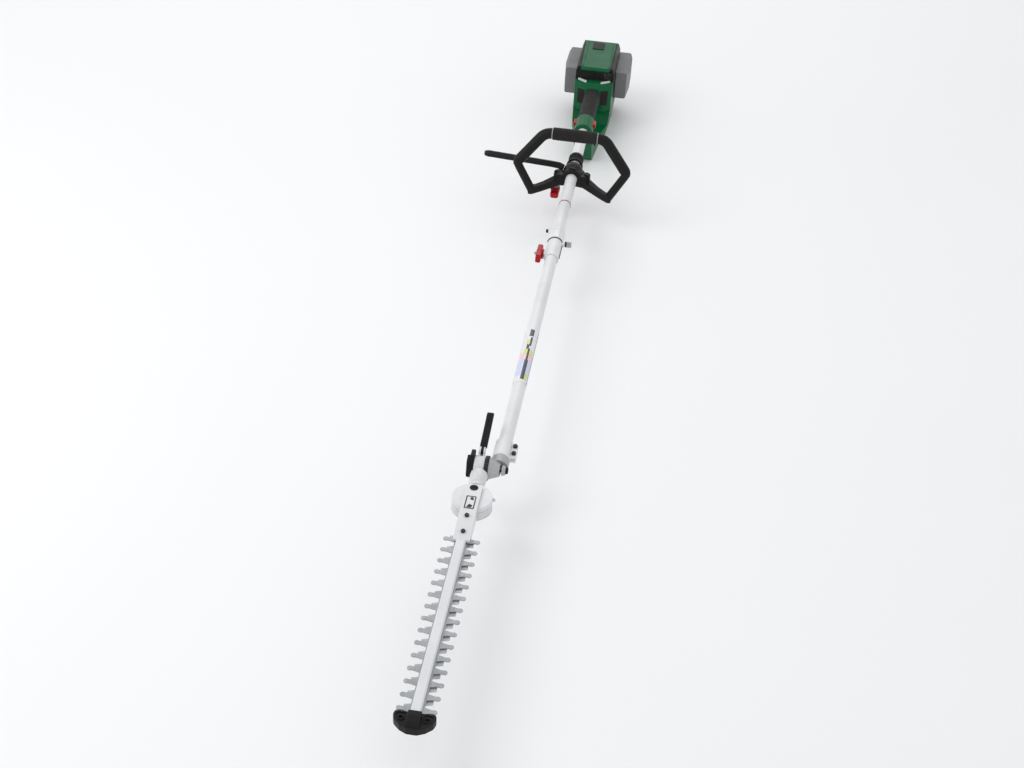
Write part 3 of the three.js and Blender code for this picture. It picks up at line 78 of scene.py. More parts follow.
def area_light(name, place, aim, size, watts):
    data = bpy.data.lights.new(name, "AREA")
    data.shape = "RECTANGLE"
    data.size, data.size_y = size
    data.energy = watts
    lamp = bpy.data.objects.new(name, data)
    lamp.location = place
    lamp.rotation_euler = (Vector(aim) - Vector(place)).to_track_quat("-Z", "Y").to_euler()
    bpy.context.scene.collection.objects.link(lamp)


def set_studio():
    world = bpy.data.worlds.new("studio")
    world.use_nodes = True
    background = world.node_tree.nodes["Background"]
    background.inputs["Color"].default_value = (0.97, 0.98, 1.0, 1)
    background.inputs["Strength"].default_value = 0.78
    bpy.context.scene.world = world
    middle = (0, -0.9, 0.1)
    area_light("key", (-2.4, -1.9, 2.7), middle, (2.0, 2.0), 36)
    area_light("fill", (2.6, -1.2, 1.9), middle, (2.2, 2.2), 3)
    area_light("rear", (-0.6, 2.6, 2.4), (0, -0.3, 0.1), (2.6, 1.2), 18)
    bpy.context.scene.view_settings.view_transform = "Standard"


AXIS_Z = (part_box("upper_tube")[0].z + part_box("upper_tube")[1].z) / 2  # height of the shaft
LABEL_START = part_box("shaft_label")[0].y


# ---------------------------------------------------------------- materials

def linear(red, green, blue):
    """An sRGB colour of 0 to 255 as linear light."""
    def channel(value):
        value /= 255
        return value / 12.92 if value <= 0.04045 else ((value + 0.055) / 1.055) ** 2.4
    return (channel(red), channel(green), channel(blue), 1)


class Graph:
    """A material's node graph, with short ways to add the nodes that the finishes share."""

    def __init__(self, name):
        self.material = bpy.data.materials.new(name)
        self.material.use_nodes = True
        self.nodes = self.material.node_tree.nodes
        self.links = self.material.node_tree.links
        self.shader = self.nodes["Principled BSDF"]
        self.place = self.nodes.new("ShaderNodeTexCoord").outputs["Object"]

    def put(self, value, socket):
        if isinstance(value, (int, float, tuple)):
            socket.default_value = value
        else:
            self.links.new(value, socket)

    def noise(self, scale, detail=3.0, stretch=(1, 1, 1), roughness=0.55):
        mapping = self.nodes.new("ShaderNodeMapping")
        mapping.inputs["Scale"].default_value = stretch
        self.links.new(self.place, mapping.inputs["Vector"])
        texture = self.nodes.new("ShaderNodeTexNoise")
        texture.inputs["Scale"].default_value = scale
        texture.inputs["Detail"].default_value = detail
        texture.inputs["Roughness"].default_value = roughness
        self.links.new(mapping.outputs["Vector"], texture.inputs["Vector"])
        return texture.outputs["Fac"]

    def cells(self, scale, stretch=(1, 1, 1)):
        mapping = self.nodes.new("ShaderNodeMapping")
        mapping.inputs["Scale"].default_value = stretch
        self.links.new(self.place, mapping.inputs["Vector"])
        texture = self.nodes.new("ShaderNodeTexVoronoi")
        texture.inputs["Scale"].default_value = scale
        self.links.new(mapping.outputs["Vector"], texture.inputs["Vector"])
        return texture.outputs["Distance"]

    def span(self, value, low, high, out_low=0.0, out_high=1.0):
        node = self.nodes.new("ShaderNodeMapRange")
        node.inputs["From Min"].default_value = low
        node.inputs["From Max"].default_value = high
        node.inputs["To Min"].default_value = out_low
        node.inputs["To Max"].default_value = out_high
        self.links.new(value, node.inputs["Value"])
        return node.outputs["Result"]

    def maths(self, kind, first, second=0.0):
        node = self.nodes.new("ShaderNodeMath")
        node.operation = kind
        self.put(first, node.inputs[0])
        self.put(second, node.inputs[1])
        return node.outputs["Value"]

    def mix(self, factor, first, second):
        node = self.nodes.new("ShaderNodeMix")
        node.data_type = "RGBA"
        self.put(factor, node.inputs[0])
        self.put(first, node.inputs[6])
        self.put(second, node.inputs[7])
        return node.outputs[2]

    def edges(self, low=0.53, high=0.62):
        """Where the surface is convex and sharp, broken up by noise."""
        geometry = self.nodes.new("ShaderNodeNewGeometry")
        sharp = self.span(geometry.outputs["Pointiness"], low, high)
        return self.maths("MULTIPLY", sharp, self.span(self.noise(140, 4), 0.35, 0.65))

    def bump(self, height, strength, distance, before=None):
        node = self.nodes.new("ShaderNodeBump")
        node.inputs["Strength"].default_value = strength
        node.inputs["Distance"].default_value = distance
        self.links.new(height, node.inputs["Height"])
        if before is not None:
            self.links.new(before, node.inputs["Normal"])
        return node.outputs["Normal"]

    def done(self, colour, rough, normal=None, metal=0.0):
        self.put(colour, self.shader.inputs["Base Color"])
        self.put(rough, self.shader.inputs["Roughness"])
        self.shader.inputs["Metallic"].default_value = metal
        if normal is not None:
            self.links.new(normal, self.shader.inputs["Normal"])
        return self.material


def shade(colour, by):
    return tuple(min(1.0, c * by) for c in colour[:3]) + (1,)


def painted(name, colour, rough, worn, peel=0.05, metal=0.0, glare=0.5):
    """Powder coat or varnish: faint orange peel, slow tone changes, rubbed edges."""
    g = Graph(name)
    tone = g.mix(g.span(g.noise(9, 3), 0.3, 0.7), shade(colour, 0.93), shade(colour, 1.04))
    dusty = g.mix(g.span(g.noise(60, 5), 0.52, 0.8, 0, 0.35), tone, shade(colour, 0.8))
    tinted = g.mix(g.maths("MULTIPLY", g.edges(), 0.5), dusty, worn)
    roughness = g.span(g.noise(35, 4), 0.3, 0.7, rough - 0.06, rough + 0.08)
    normal = g.bump(g.noise(1400, 2), peel, 0.0004)
    g.shader.inputs["Specular IOR Level"].default_value = glare
    return g.done(tinted, roughness, normal, metal)


def cast(name, colour, rough, metal, grain=0.35):
    """Die casting: a pebbled skin, darker in the hollows, bright where it has been handled."""
    g = Graph(name)
    tone = g.mix(g.span(g.noise(24, 4), 0.3, 0.7), shade(colour, 0.86), shade(colour, 1.06))
    speckle = g.mix(g.span(g.noise(900, 3), 0.45, 0.75, 0, 0.45), tone, shade(colour, 0.7))
    tinted = g.mix(g.maths("MULTIPLY", g.edges(), 0.6), speckle, shade(colour, 1.5))
    roughness = g.span(g.noise(300, 3), 0.3, 0.7, rough - 0.08, rough + 0.1)
    normal = g.bump(g.noise(1100, 4), grain, 0.0004, g.bump(g.noise(60, 2), 0.12, 0.002))
    return g.done(tinted, roughness, normal, metal)


def machined(name, colour, rough, direction, metal=1.0, stain=0.5):
    """Ground or drawn steel: fine lines one way, oil and rust-free staining, bright edges."""
    g = Graph(name)
    lines = g.noise(700, 2, direction)
    tone = g.mix(g.span(lines, 0.3, 0.7), shade(colour, 0.84), shade(colour, 1.08))
    smudge = g.mix(g.span(g.noise(45, 5), 0.45, 0.75, 0, stain), tone, shade(colour, 0.55))
    tinted = g.mix(g.maths("MULTIPLY", g.edges(), 0.6), smudge, shade(colour, 1.6))
    roughness = g.span(g.noise(180, 4), 0.3, 0.7, rough - 0.08, rough + 0.12)
    normal = g.bump(lines, 0.16, 0.0002)
    return g.done(tinted, roughness, normal, metal)


def moulded(name, colour, rough, grain, scale=1600, worn=1.6, glare=0.5):
    """Moulded plastic: spark-eroded grain, slightly paler along its edges."""
    g = Graph(name)
    tone = g.mix(g.span(g.noise(14, 4), 0.3, 0.7), shade(colour, 0.88), shade(colour, 1.1))
    dusty = g.mix(g.span(g.noise(80, 5), 0.5, 0.8, 0, 0.3), tone, shade(colour, 0.72))
    tinted = g.mix(g.maths("MULTIPLY", g.edges(), 0.45), dusty, shade(colour, worn))
    roughness = g.span(g.noise(50, 4), 0.3, 0.7, rough - 0.05, rough + 0.08)
    normal = g.bump(g.noise(scale, 3), grain, 0.0003, g.bump(g.noise(30, 2), 0.05, 0.002))
    g.shader.inputs["Specular IOR Level"].default_value = glare
    return g.done(tinted, roughness, normal)


def rubber(name, colour, rough, scale):
    """Soft overmould: a raised pebble texture with a dull sheen."""
    g = Graph(name)
    pebble = g.cells(scale)
    tone = g.mix(g.span(pebble, 0.1, 0.7), shade(colour, 1.18), shade(colour, 0.7))
    tinted = g.mix(g.span(g.noise(30, 4), 0.45, 0.75, 0, 0.5), tone, shade(colour, 1.5))
    roughness = g.span(g.noise(90, 4), 0.3, 0.7, rough - 0.06, rough + 0.06)
    normal = g.bump(pebble, 0.5, 0.0005)
    g.shader.inputs["Specular IOR Level"].default_value = 0.2
    g.shader.inputs["Sheen Weight"].default_value = 0.04
    return g.done(tinted, roughness, normal)


def winding(name, colour):
    """Enamelled copper wire, laid in fine turns."""
    g = Graph(name)
    turns = g.noise(1500, 1, (1, 0.05, 1))
    tone = g.mix(g.span(turns, 0.35, 0.65), shade(colour, 0.45), shade(colour, 1.2))
    return g.done(tone, g.span(turns, 0.3, 0.7, 0.3, 0.5), g.bump(turns, 0.6, 0.0004), 0.9)


def board(name, colour):
    """A lacquered circuit board with paler tracks."""
    g = Graph(name)
    tracks = g.cells(260)
    tone = g.mix(g.span(tracks, 0.05, 0.2), shade(colour, 2.2), colour)
    return g.done(tone, g.span(tracks, 0.0, 0.4, 0.3, 0.55), g.bump(tracks, 0.3, 0.0003))


LABEL_RUN = 0.181
DARK, NAVY = linear(62, 66, 74), linear(52, 50, 66)
PALE_BLUE, YELLOW, PINK = linear(206, 212, 240), linear(214, 216, 118), linear(238, 200, 208)
LABEL_BLOCKS = [  # start and end along the film, as shares of it, left and right in millimetres, colour
    (0.10, 0.40, -12, 12, PALE_BLUE), (0.04, 0.40, -1.0, 6.0, DARK), (0.40, 0.52, -11, 12, PINK),
    (0.05, 0.16, 6.4, 11, YELLOW), (0.40, 0.62, 0.5, 4.6, DARK), (0.50, 0.60, -6, 0, YELLOW),
    (0.49, 0.60, 6, 10.6, YELLOW), (0.60, 0.70, -3.5, 2, NAVY), (0.69, 0.79, -5, 0.4, YELLOW),
    (0.66, 0.84, 1, 5, DARK), (0.86, 0.99, -3, 5.2, DARK),
]


def film(name):
    """The tube's label: a pale film with thin dark borders and plain colour blocks, and no words."""
    g = Graph(name)
    split = g.nodes.new("ShaderNodeSeparateXYZ")
    g.links.new(g.place, split.inputs["Vector"])
    across, above = split.outputs["X"], split.outputs["Z"]
    along = g.maths("DIVIDE", g.maths("SUBTRACT", split.outputs["Y"], LABEL_START), LABEL_RUN)
    ragged = g.span(g.noise(160, 3), 0.3, 0.7, -0.012, 0.012)
    face = g.maths("GREATER_THAN", above, AXIS_Z)
    colour = g.mix(g.span(g.noise(30, 3), 0.3, 0.7), linear(226, 227, 229), linear(232, 233, 235))

    def within(value, low, high):
        return g.maths("MULTIPLY", g.maths("GREATER_THAN", value, low), g.maths("LESS_THAN", value, high))

    for start, end, left, right, tint in LABEL_BLOCKS:
        there = g.maths("MULTIPLY", within(g.maths("ADD", along, ragged), start, end),
                        within(across, left * MM, right * MM))
        colour = g.mix(g.maths("MULTIPLY", there, face), colour, tint)
    border = g.maths("MULTIPLY", within(g.maths("ABSOLUTE", across), 12.2 * MM, 12.9 * MM), face)
    colour = g.mix(border, colour, linear(96, 98, 102))
    return g.done(colour, g.span(g.noise(60, 3), 0.3, 0.7, 0.24, 0.34), g.bump(g.noise(200, 2), 0.04, 0.0005))


LOOKS = {
    "white_paint": painted("white_paint", linear(226, 227, 228), 0.34, linear(205, 205, 205)),
    "cast_metal": cast("cast_metal", linear(216, 217, 218), 0.5, 0.1),
    "bare_casting": cast("bare_casting", linear(176, 177, 178), 0.42, 0.45, 0.3),
    "blade_steel": machined("blade_steel", linear(178, 180, 182), 0.36, (1, 0.04, 1), 0.85),
    "inner_steel": machined("inner_steel", linear(150, 152, 155), 0.35, (1, 1, 0.05)),
    "dark_steel": machined("dark_steel", linear(60, 61, 63), 0.42, (1, 0.1, 1), 0.6),
    "black_plastic": moulded("black_plastic", linear(26, 25, 24), 0.4, 0.3, worn=2.2, glare=0.17),
    "black_metal": painted("black_metal", linear(24, 24, 24), 0.36, linear(110, 110, 110), 0.12, 0.0, 0.2),
    "soft_grip": rubber("soft_grip", linear(36, 33, 32), 0.7, 900),
    "green_plastic": moulded("green_plastic", linear(0, 90, 50), 0.34, 0.18, 1900, 1.5, 0.22),
    "red_plastic": moulded("red_plastic", linear(168, 8, 24), 0.26, 0.12, 1900, 1.5, 0.25),
    "battery_shell": moulded("battery_shell", linear(122, 123, 124), 0.5, 0.3, 1400, 1.3, 0.3),
    "label_film": film("label_film"),
    "motor_winding": winding("motor_winding", linear(168, 100, 58)),
    "circuit_board": board("circuit_board", linear(28, 90, 58)),
}


def floor_look():
    g = Graph("floor")
    pale = linear(248, 248, 248)
    tone = g.mix(g.span(g.noise(0.7, 3), 0.3, 0.7), shade(pale, 0.985), pale)
    return g.done(tone, g.span(g.noise(3, 3), 0.3, 0.7, 0.62, 0.72), g.bump(g.noise(60, 2), 0.02, 0.001))


def lay_floor():
    grid = bmesh.new()
    bmesh.ops.create_grid(grid, x_segments=8, y_segments=8, size=9)
    data = bpy.data.meshes.new("floor")
    grid.to_mesh(data)
    grid.free()
    floor = bpy.data.objects.new("floor", data)
    floor.location.z = -1 * MM
    bpy.context.scene.collection.objects.link(floor)
    data.materials.append(floor_look())


# ---------------------------------------------------------------- blanks, in millimetres

AXES = {
    "x": lambda a, b, h: (h, a, b),
    "y": lambda a, b, h: (a, h, b),
    "z": lambda a, b, h: (a, b, h),
}


def blank(mesh):
    """A new object from a bmesh, its faces turned outwards."""
    bmesh.ops.recalc_face_normals(mesh, faces=mesh.faces)
    data = bpy.data.meshes.new("blank")
    mesh.to_mesh(data)
    mesh.free()
    made = bpy.data.objects.new("blank", data)
    bpy.context.scene.collection.objects.link(made)
    return made


def settle(made):
    """The object's modifiers applied to its mesh."""
    graph = bpy.context.evaluated_depsgraph_get()
    data = bpy.data.meshes.new_from_object(made.evaluated_get(graph))
    made.modifiers.clear()
    old = made.data
    made.data = data
    bpy.data.meshes.remove(old)
    return made


def combined(how, first, *others):
    """The first object after a boolean with each of the others, which are used up."""
    for other in others:
        step = first.modifiers.new("work", "BOOLEAN")
        step.operation = how
        step.solver = "MANIFOLD"
        step.object = other
    settle(first)
    for other in others:
        bpy.data.objects.remove(other)
    return first


def joined(*parts):
    return combined("UNION", *parts)


def without(first, *tools):
    return combined("DIFFERENCE", first, *tools)


def common(*parts):
    return combined("INTERSECT", *parts)


def tidy(made, angle=0.6):
    """Faces that lie in one plane become one face."""
    mesh = bmesh.new()
    mesh.from_mesh(made.data)
    bmesh.ops.remove_doubles(mesh, verts=mesh.verts, dist=0.004)
    bmesh.ops.dissolve_limit(mesh, angle_limit=math.radians(angle), verts=mesh.verts, edges=mesh.edges)
    mesh.to_mesh(made.data)
    mesh.free()
    return made


def softened(made, width, segments=3, angle=30):
    """The object with its edges sharper than angle rounded off."""
    tidy(made)
    step = made.modifiers.new("work", "BEVEL")
    step.width = width
    step.segments = segments
    step.limit_method = "ANGLE"
    step.angle_limit = math.radians(angle)
    step.use_clamp_overlap = False
    step.miter_outer = "MITER_ARC"
    return settle(made)


def inset(points, depth):
    """Each side of an outline moved inwards by depth."""
    count = len(points)
    area = sum(points[i][0] * points[(i + 1) % count][1] - points[(i + 1) % count][0] * points[i][1]
               for i in range(count))
    turn = math.copysign(depth, area) if depth >= 0 else -math.copysign(depth, area)
    lines = []
    for i, (x, y) in enumerate(points):
        u, v = points[(i + 1) % count]
        length = math.hypot(u - x, v - y)
        lines.append(((x - (v - y) / length * turn, y + (u - x) / length * turn), (u - x, v - y)))
    moved = []
    for i, (at, along) in enumerate(lines):
        last_at, last_along = lines[i - 1]
        cross = last_along[0] * along[1] - last_along[1] * along[0]
        if abs(cross) < 1e-7:
            moved.append(at)
            continue
        share = ((at[0] - last_at[0]) * along[1] - (at[1] - last_at[1]) * along[0]) / cross
        moved.append((last_at[0] + last_along[0] * share, last_at[1] + last_along[1] * share))
    return moved


def fillet(points, radius, steps=4, closed=True):
    """The outline or path with its corners rounded; radius may be one number or one for each point."""
    rounded = []
    for i, point in enumerate(points):
        r = radius[i] if isinstance(radius, (list, tuple)) else radius
        if r == 0 or (not closed and i in (0, len(points) - 1)):
            rounded.append(tuple(point))
            continue
        corner = Vector(point)
        before = Vector(points[i - 1]) - corner
        after = Vector(points[(i + 1) % len(points)]) - corner
        half = max(before.angle(after) / 2, 0.05)
        reach = min(r / math.tan(half), before.length * 0.46, after.length * 0.46)
        if reach < 0.02:
            rounded.append(tuple(point))
            continue
        start = corner + before.normalized() * reach
        end = corner + after.normalized() * reach
        for k in range(steps + 1):
            t = k / steps
            rounded.append(tuple(start * (1 - t) ** 2 + corner * (2 * t * (1 - t)) + end * t ** 2))
    return rounded


def skin(rings, closed_ring=False, caps=True):
    """Rings of points joined one to the next."""
    mesh = bmesh.new()
    rows = [[mesh.verts.new(p) for p in ring] for ring in rings]
    pairs = list(zip(rows, rows[1:])) + ([(rows[-1], rows[0])] if closed_ring else [])
    for low, high in pairs:
        for i in range(len(low)):
            j = (i + 1) % len(low)
            mesh.faces.new((low[i], low[j], high[j], high[i]))
    if caps and not closed_ring:
        mesh.faces.new(rows[0])
        mesh.faces.new(rows[-1])
    return blank(mesh)


def prism(axis, outline, low, high, edge=0.0, steps=3):
    """An outline of (x, y), (y, z) or (x, z) carried along z, x or y, with both rims rounded by edge."""
    place = AXES[axis]
    if edge:
        turns = [math.pi / 2 * i / steps for i in range(steps + 1)]
        rims = [(edge * (1 - math.sin(t)), edge * (1 - math.cos(t))) for t in turns]
        layers = [(low + up, inwards) for inwards, up in rims]
        layers += [(high - up, inwards) for inwards, up in reversed(rims)]
    else:
        layers = [(low, 0), (high, 0)]
    return skin([[place(a, b, h) for a, b in inset(outline, d)] for h, d in layers])


def block(x0, x1, y0, y1, z0, z1):
    return prism("z", [(x0, y0), (x1, y0), (x1, y1), (x0, y1)], z0, z1)


def lathe(axis, profile, sides=64, ring=False, at=(0, 0)):
    """A profile of (along, radius) turned about the axis through at."""
    place = AXES[axis]
    rings = []
    for along, radius in profile:
        angles = [2 * math.pi * i / sides for i in range(sides)]
        rings.append([place(at[0] + radius * math.cos(a), at[1] + radius * math.sin(a), along) for a in angles])
    return skin(rings, closed_ring=ring)


def rod(axis, at, low, high, radius, edge=0.0, sides=48):
    """A round bar with its rims rounded."""
    profile = [(low, radius), (high, radius)]
    if edge:
        profile = fillet([(low, 0.2), (low, radius), (high, radius), (high, 0.2)], edge, 4, False)
    return lathe(axis, profile, sides, at=at)


def pipe(axis, low, high, inner, outer, edge=0.4, sides=64, at=(0, 0)):
    """A tube with its rims rounded."""
    ends = fillet([(low, inner), (low, outer), (high, outer), (high, inner)], edge, 3)
    return lathe(axis, ends, sides, True, at)


def sweep(path, radius, sides=32, dome=True):
    """A round bar along a path, with domed ends; radius may be one number or one for each point."""
    points = [Vector(p) for p in path]
    radii = list(radius) if isinstance(radius, (list, tuple)) else [radius] * len(points)
    first = (points[1] - points[0]).normalized()
    last = (points[-1] - points[-2]).normalized()
    if dome:
        start, end, lead, tail = points[0], points[-1], radii[0], radii[-1]
        for t in (math.radians(angle) for angle in (25, 50, 70, 83)):
            points.insert(0, start - first * lead * math.sin(t) * 0.5)
            radii.insert(0, lead * math.cos(t) ** 0.5)
            points.append(end + last * tail * math.sin(t) * 0.5)
            radii.append(tail * math.cos(t) ** 0.5)
    side = first.orthogonal().normalized()
    heading = first
    rings = []
    for i, point in enumerate(points):
        ahead = points[min(i + 1, len(points) - 1)] - points[max(i - 1, 0)]
        ahead.normalize()
        side = heading.rotation_difference(ahead) @ side
        heading = ahead
        across = heading.cross(side)
        rings.append([
            tuple(point + (side * math.cos(a) + across * math.sin(a)) * radii[i])
            for a in (2 * math.pi * k / sides for k in range(sides))
        ])
    return skin(rings)


def loft_bar(path, across, halves, power=3.0, sides=36):
    """A bar of rounded-rectangle section; halves holds half its width and half its thickness at each point."""
    points = [Vector(p) for p in path]
    rings = []
    for i, point in enumerate(points):
        ahead = (points[min(i + 1, len(points) - 1)] - points[max(i - 1, 0)]).normalized()
        wide = (Vector(across) - ahead * ahead.dot(Vector(across))).normalized()
        thin = ahead.cross(wide)
        ring = []
        for k in range(sides):
            angle = 2 * math.pi * k / sides
            c, n = math.cos(angle), math.sin(angle)
            c = math.copysign(abs(c) ** (2 / power), c) * halves[i][0]
            n = math.copysign(abs(n) ** (2 / power), n) * halves[i][1]
            ring.append(tuple(point + wide * c + thin * n))
        rings.append(ring)
    return skin(rings)


def refined(node, width, segments=2, angle=30):
    """A CAD node's own shape with its sharp edges rounded off, in millimetres of the row frame."""
    mesh = bmesh.new()
    mesh.from_mesh(frame["nodes"][node].data)
    bmesh.ops.scale(mesh, vec=(1 / MM,) * 3, verts=mesh.verts)
    bmesh.ops.remove_doubles(mesh, verts=mesh.verts, dist=0.003)
    return softened(blank(mesh), width, segments, angle)


ORIGIN = Vector((0, 0, 0))
CREASE = 32  # degrees; sharper edges stay sharp
SIDES = ((-1, "left"), (1, "right"))


def show(name, made, station, look, body, stands_for=()):
    """Sets a blank down at a station, gives it its finish and lets it ride on a body."""
    made.name = name
    made.data.name = name
    made.data.transform(Matrix.Translation(station) @ Matrix.Scale(MM, 4))
    made.data.shade_smooth()
    made.data.set_sharp_from_angle(angle=math.radians(CREASE))
    made.data.materials.clear()
    made.data.materials.append(LOOKS[look])
    step = made.modifiers.new("normals", "WEIGHTED_NORMAL")
    step.keep_sharp = True
    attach(made, body)
    if stands_for:
        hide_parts(*stands_for)


# ---------------------------------------------------------------- stations, from the frame

def middle_of(node):
    low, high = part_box(node)
    return (low + high) / 2


FIRST_TOOTH, CRANK = 203, 98  # ahead of the tilt axis
BLADE_X = middle_of("cover_bar").x
PIVOT = Vector((0, middle_of("index_plate").y, AXIS_Z))
BLADE = Vector((BLADE_X, PIVOT.y - FIRST_TOOTH * MM, AXIS_Z))
GEARBOX = Vector((BLADE_X, PIVOT.y - CRANK * MM, AXIS_Z))
JOINT = Vector((0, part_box("lower_tube")[1].y, AXIS_Z))
HANDLE = Vector((0, middle_of("handle_clamp_top").y, AXIS_Z))
NOSE = Vector((0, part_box("handle_shell_left")[0].y, AXIS_Z))


# ---------------------------------------------------------------- finishes of the kept nodes

KEPT = {
    "blade_steel": ["cutter_blade"],
    "inner_steel": ["crank_gear", "connecting_rod", "neck_shaft", "cross_shaft", "lower_drive_shaft",
                    "upper_drive_shaft", "motor_rotor"],
    "dark_steel": ["backing_bar", "index_pin", "shaft_coupler"],
    "motor_winding": ["motor_stator"],
    "circuit_board": ["control_board"],
    "bare_casting": ["motor_can"],
}


def dress_kept_nodes():
    for look, names in KEPT.items():
        for name in names:
            node = frame["nodes"][name]
            for slot in node.material_slots:
                slot.link = "OBJECT"
                slot.material = LOOKS[look]


# ---------------------------------------------------------------- cutter bar

PITCH, ROWS = 28, 15
STRIP = 11  # half width of the toothless middle
LAST_ROW = -(ROWS - 1) * PITCH
BAR_END = LAST_ROW - 18.6
COVER_END = LAST_ROW - 18


def comb_outline():
    """Long teeth with a waist and a round tip."""
    right = []
    for row in range(ROWS):
        y = -row * PITCH
        right += [(STRIP, y + 6.8), (22.0, y + 3.9)]
        right += [(26.9 + 4.6 * math.cos(a), y + 4.6 * math.sin(a))
                  for a in (math.radians(115 - 23 * k) for k in range(11))]
        right += [(22.0, y - 3.9), (STRIP, y - 6.8)]
    rear = 66
    left = [(-x, y) for x, y in reversed(right)]
    return [(STRIP, rear)] + right + [(STRIP, BAR_END), (-STRIP, BAR_END)] + left + [(-STRIP, rear)]


def build_cutter_bar():
    show("comb_teeth", prism("z", comb_outline(), 0.3, 2.7, 0.55, 2), BLADE, "blade_steel", "cutter_head",
         ("comb_plate",))
    cover = [(-8.1, 3.0), (8.1, 3.0), (8.1, 8.6), (6.0, 11.0), (-6.0, 11.0), (-8.1, 8.6)]
    show("cover_channel", prism("y", fillet(cover, [0, 0, 1.2, 1.2, 1.2, 1.2], 3), COVER_END, -7, 0.5, 2), BLADE,
         "white_paint", "cutter_head", ("cover_bar",))
    build_tip_guard()


def build_tip_guard():
    rear = LAST_ROW - 7.1
    tip = rear - 34
    right = [(31, rear), (33, rear - 8), (30, rear - 18), (20, rear - 28), (8, tip)]
    guard = prism("z", fillet(right + [(-x, y) for x, y in reversed(right)], [3, 9, 9, 9, 8, 8, 9, 9, 9, 3], 5),
                  -8.7, 4.6, 1.2, 3)
    for side in (-1, 1):
        dish = [(14, rear - 3), (27, rear - 3), (28.4, rear - 9), (26, rear - 16.5),
                (17.5, rear - 24.5), (14, rear - 25)]
        guard = without(guard, prism("z", fillet([(side * x, y) for x, y in dish], [1, 3, 5, 5, 3, 1], 4), 3.3, 9))
        guard = joined(guard, rod("z", (side * 20, rear - 13), -8, 4.9, 5.6, 0.5, 40))
        guard = without(guard, rod("z", (side * 20, rear - 13), -20, 20, 3.6, sides=40))
    hump = [(COVER_END + 6, 2.7), (tip + 2.3, 2.7), (tip + 3, 5.5), (tip + 9, 10.4), (COVER_END - 4, 13.6),
            (COVER_END + 6, 13.6)]
    guard = joined(guard, prism("x", fillet(hump, [0, 0, 3, 5, 4, 0], 4), -10.6, 10.6, 1.6, 3))
    for tool in ((-STRIP - 0.3, STRIP + 0.3, BAR_END - 0.3, rear + 20, -6, 3.0),
                 (-8.4, 8.4, COVER_END - 0.3, rear + 21, 2.7, 11.3),
                 (-22, 22, LAST_ROW - 9, rear + 22, -2.9, 0.3)):
        guard = without(guard, block(*tool))
    show("guard_shell", guard, BLADE, "black_plastic", "cutter_head", ("tip_guard",))


# ---------------------------------------------------------------- gear head

def build_gear_head():
    for node, look, width in (
        ("swivel_arm", "cast_metal", 0.9), ("latch_cover", "black_plastic", 1.4),
        ("support_plate", "white_paint", 0.9), ("gearbox_lower", "cast_metal", 0.8),
        ("gearbox_upper", "white_paint", 1.2), ("elbow_casting", "bare_casting", 0.7),
        ("elbow_cap", "black_plastic", 0.8), ("tube_clamp", "white_paint", 0.8),
        ("clamp_bolt_front", "black_metal", 0.5), ("clamp_bolt_rear", "black_metal", 0.5),
        ("plate_screw_front", "dark_steel", 0.4), ("plate_screw_rear", "dark_steel", 0.4),
    ):
        show(node + "_skin", refined(node, width), ORIGIN, look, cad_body(node), (node,))
    build_plate_trim()
    build_lever()
    build_index_plate()


def build_plate_trim():
    """On the support plate: an oil plug, and a plain framed panel where the photo has a sticker."""
    top = (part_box("support_plate")[1].z - AXIS_Z) / MM
    plug = rod("z", (0, 17), top - 0.5, top + 1.1, 7.4, 0.6, 48)
    slot = block(-4.6, 4.6, 16.2, 17.8, top + 0.5, top + 3)
    show("oil_plug", without(plug, slot), GEARBOX, "black_plastic", "cutter_head")
    outline = fillet([(-8.6, -40), (8.6, -40), (8.6, -6), (-8.6, -6)], 1.6, 4)
    frame_ring = without(prism("z", outline, top - 0.3, top + 0.5, 0.2, 2),
                         prism("z", [(-6.9, -38.3), (6.9, -38.3), (6.9, -7.7), (-6.9, -7.7)], top - 1, top + 2))
    show("panel_frame", frame_ring, GEARBOX, "black_plastic", "cutter_head")
    lobes = [prism("z", fillet(lobe, 1.2, 3), top - 0.3, top + 0.35, 0.1)
             for lobe in ([(-5.2, -37), (3.2, -37), (5.4, -31), (-1, -27)],
                          [(-1.6, -15), (5, -17), (4.2, -9.5), (-0.5, -9)])]
    show("panel_marks", joined(*lobes), GEARBOX, "dark_steel", "cutter_head")


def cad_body(node):
    """The body that a CAD node belongs to."""
    for body, members in frame["record"]["behaviour"]["bodies"].items():
        if node in members:
            return body
    raise KeyError(node)


def build_lever():
    left = BLADE_X / MM
    side = [(33, 17), (60, 22), (83, 27), (109, 34.5), (112.5, 38), (111, 41), (106, 41), (73, 33), (45, 27),
            (33, 24)]
    blade = prism("x", fillet(side, [1, 8, 10, 4, 2, 2, 4, 10, 10, 1], 4), left - 8.5, left + 4.5, 2.2, 3)
    hub = rod("x", (23, 19), left - 4, left, 6, 0.5, 32)
    web = prism("x", fillet([(25, 15), (38, 18), (38, 24), (25, 23)], 1, 2), left - 4, left, 0.4, 2)
    groove = prism("x", fillet([(50, 31.5), (92, 41), (92, 36.6), (50, 27.4)], 1, 2), left - 4, left, 0.3, 2)
    made = joined(without(blade, groove), web, hub)
    show("lever_blade", made, PIVOT, "black_plastic", "lever", ("release_lever",))


INDEX_NOTCHES, INDEX_RADIUS, NOTCH_R = 24, 18, 2.0
INDEX_TIP_R, INDEX_ROOT_R, INDEX_BORE = 22.5, 20.6, 13


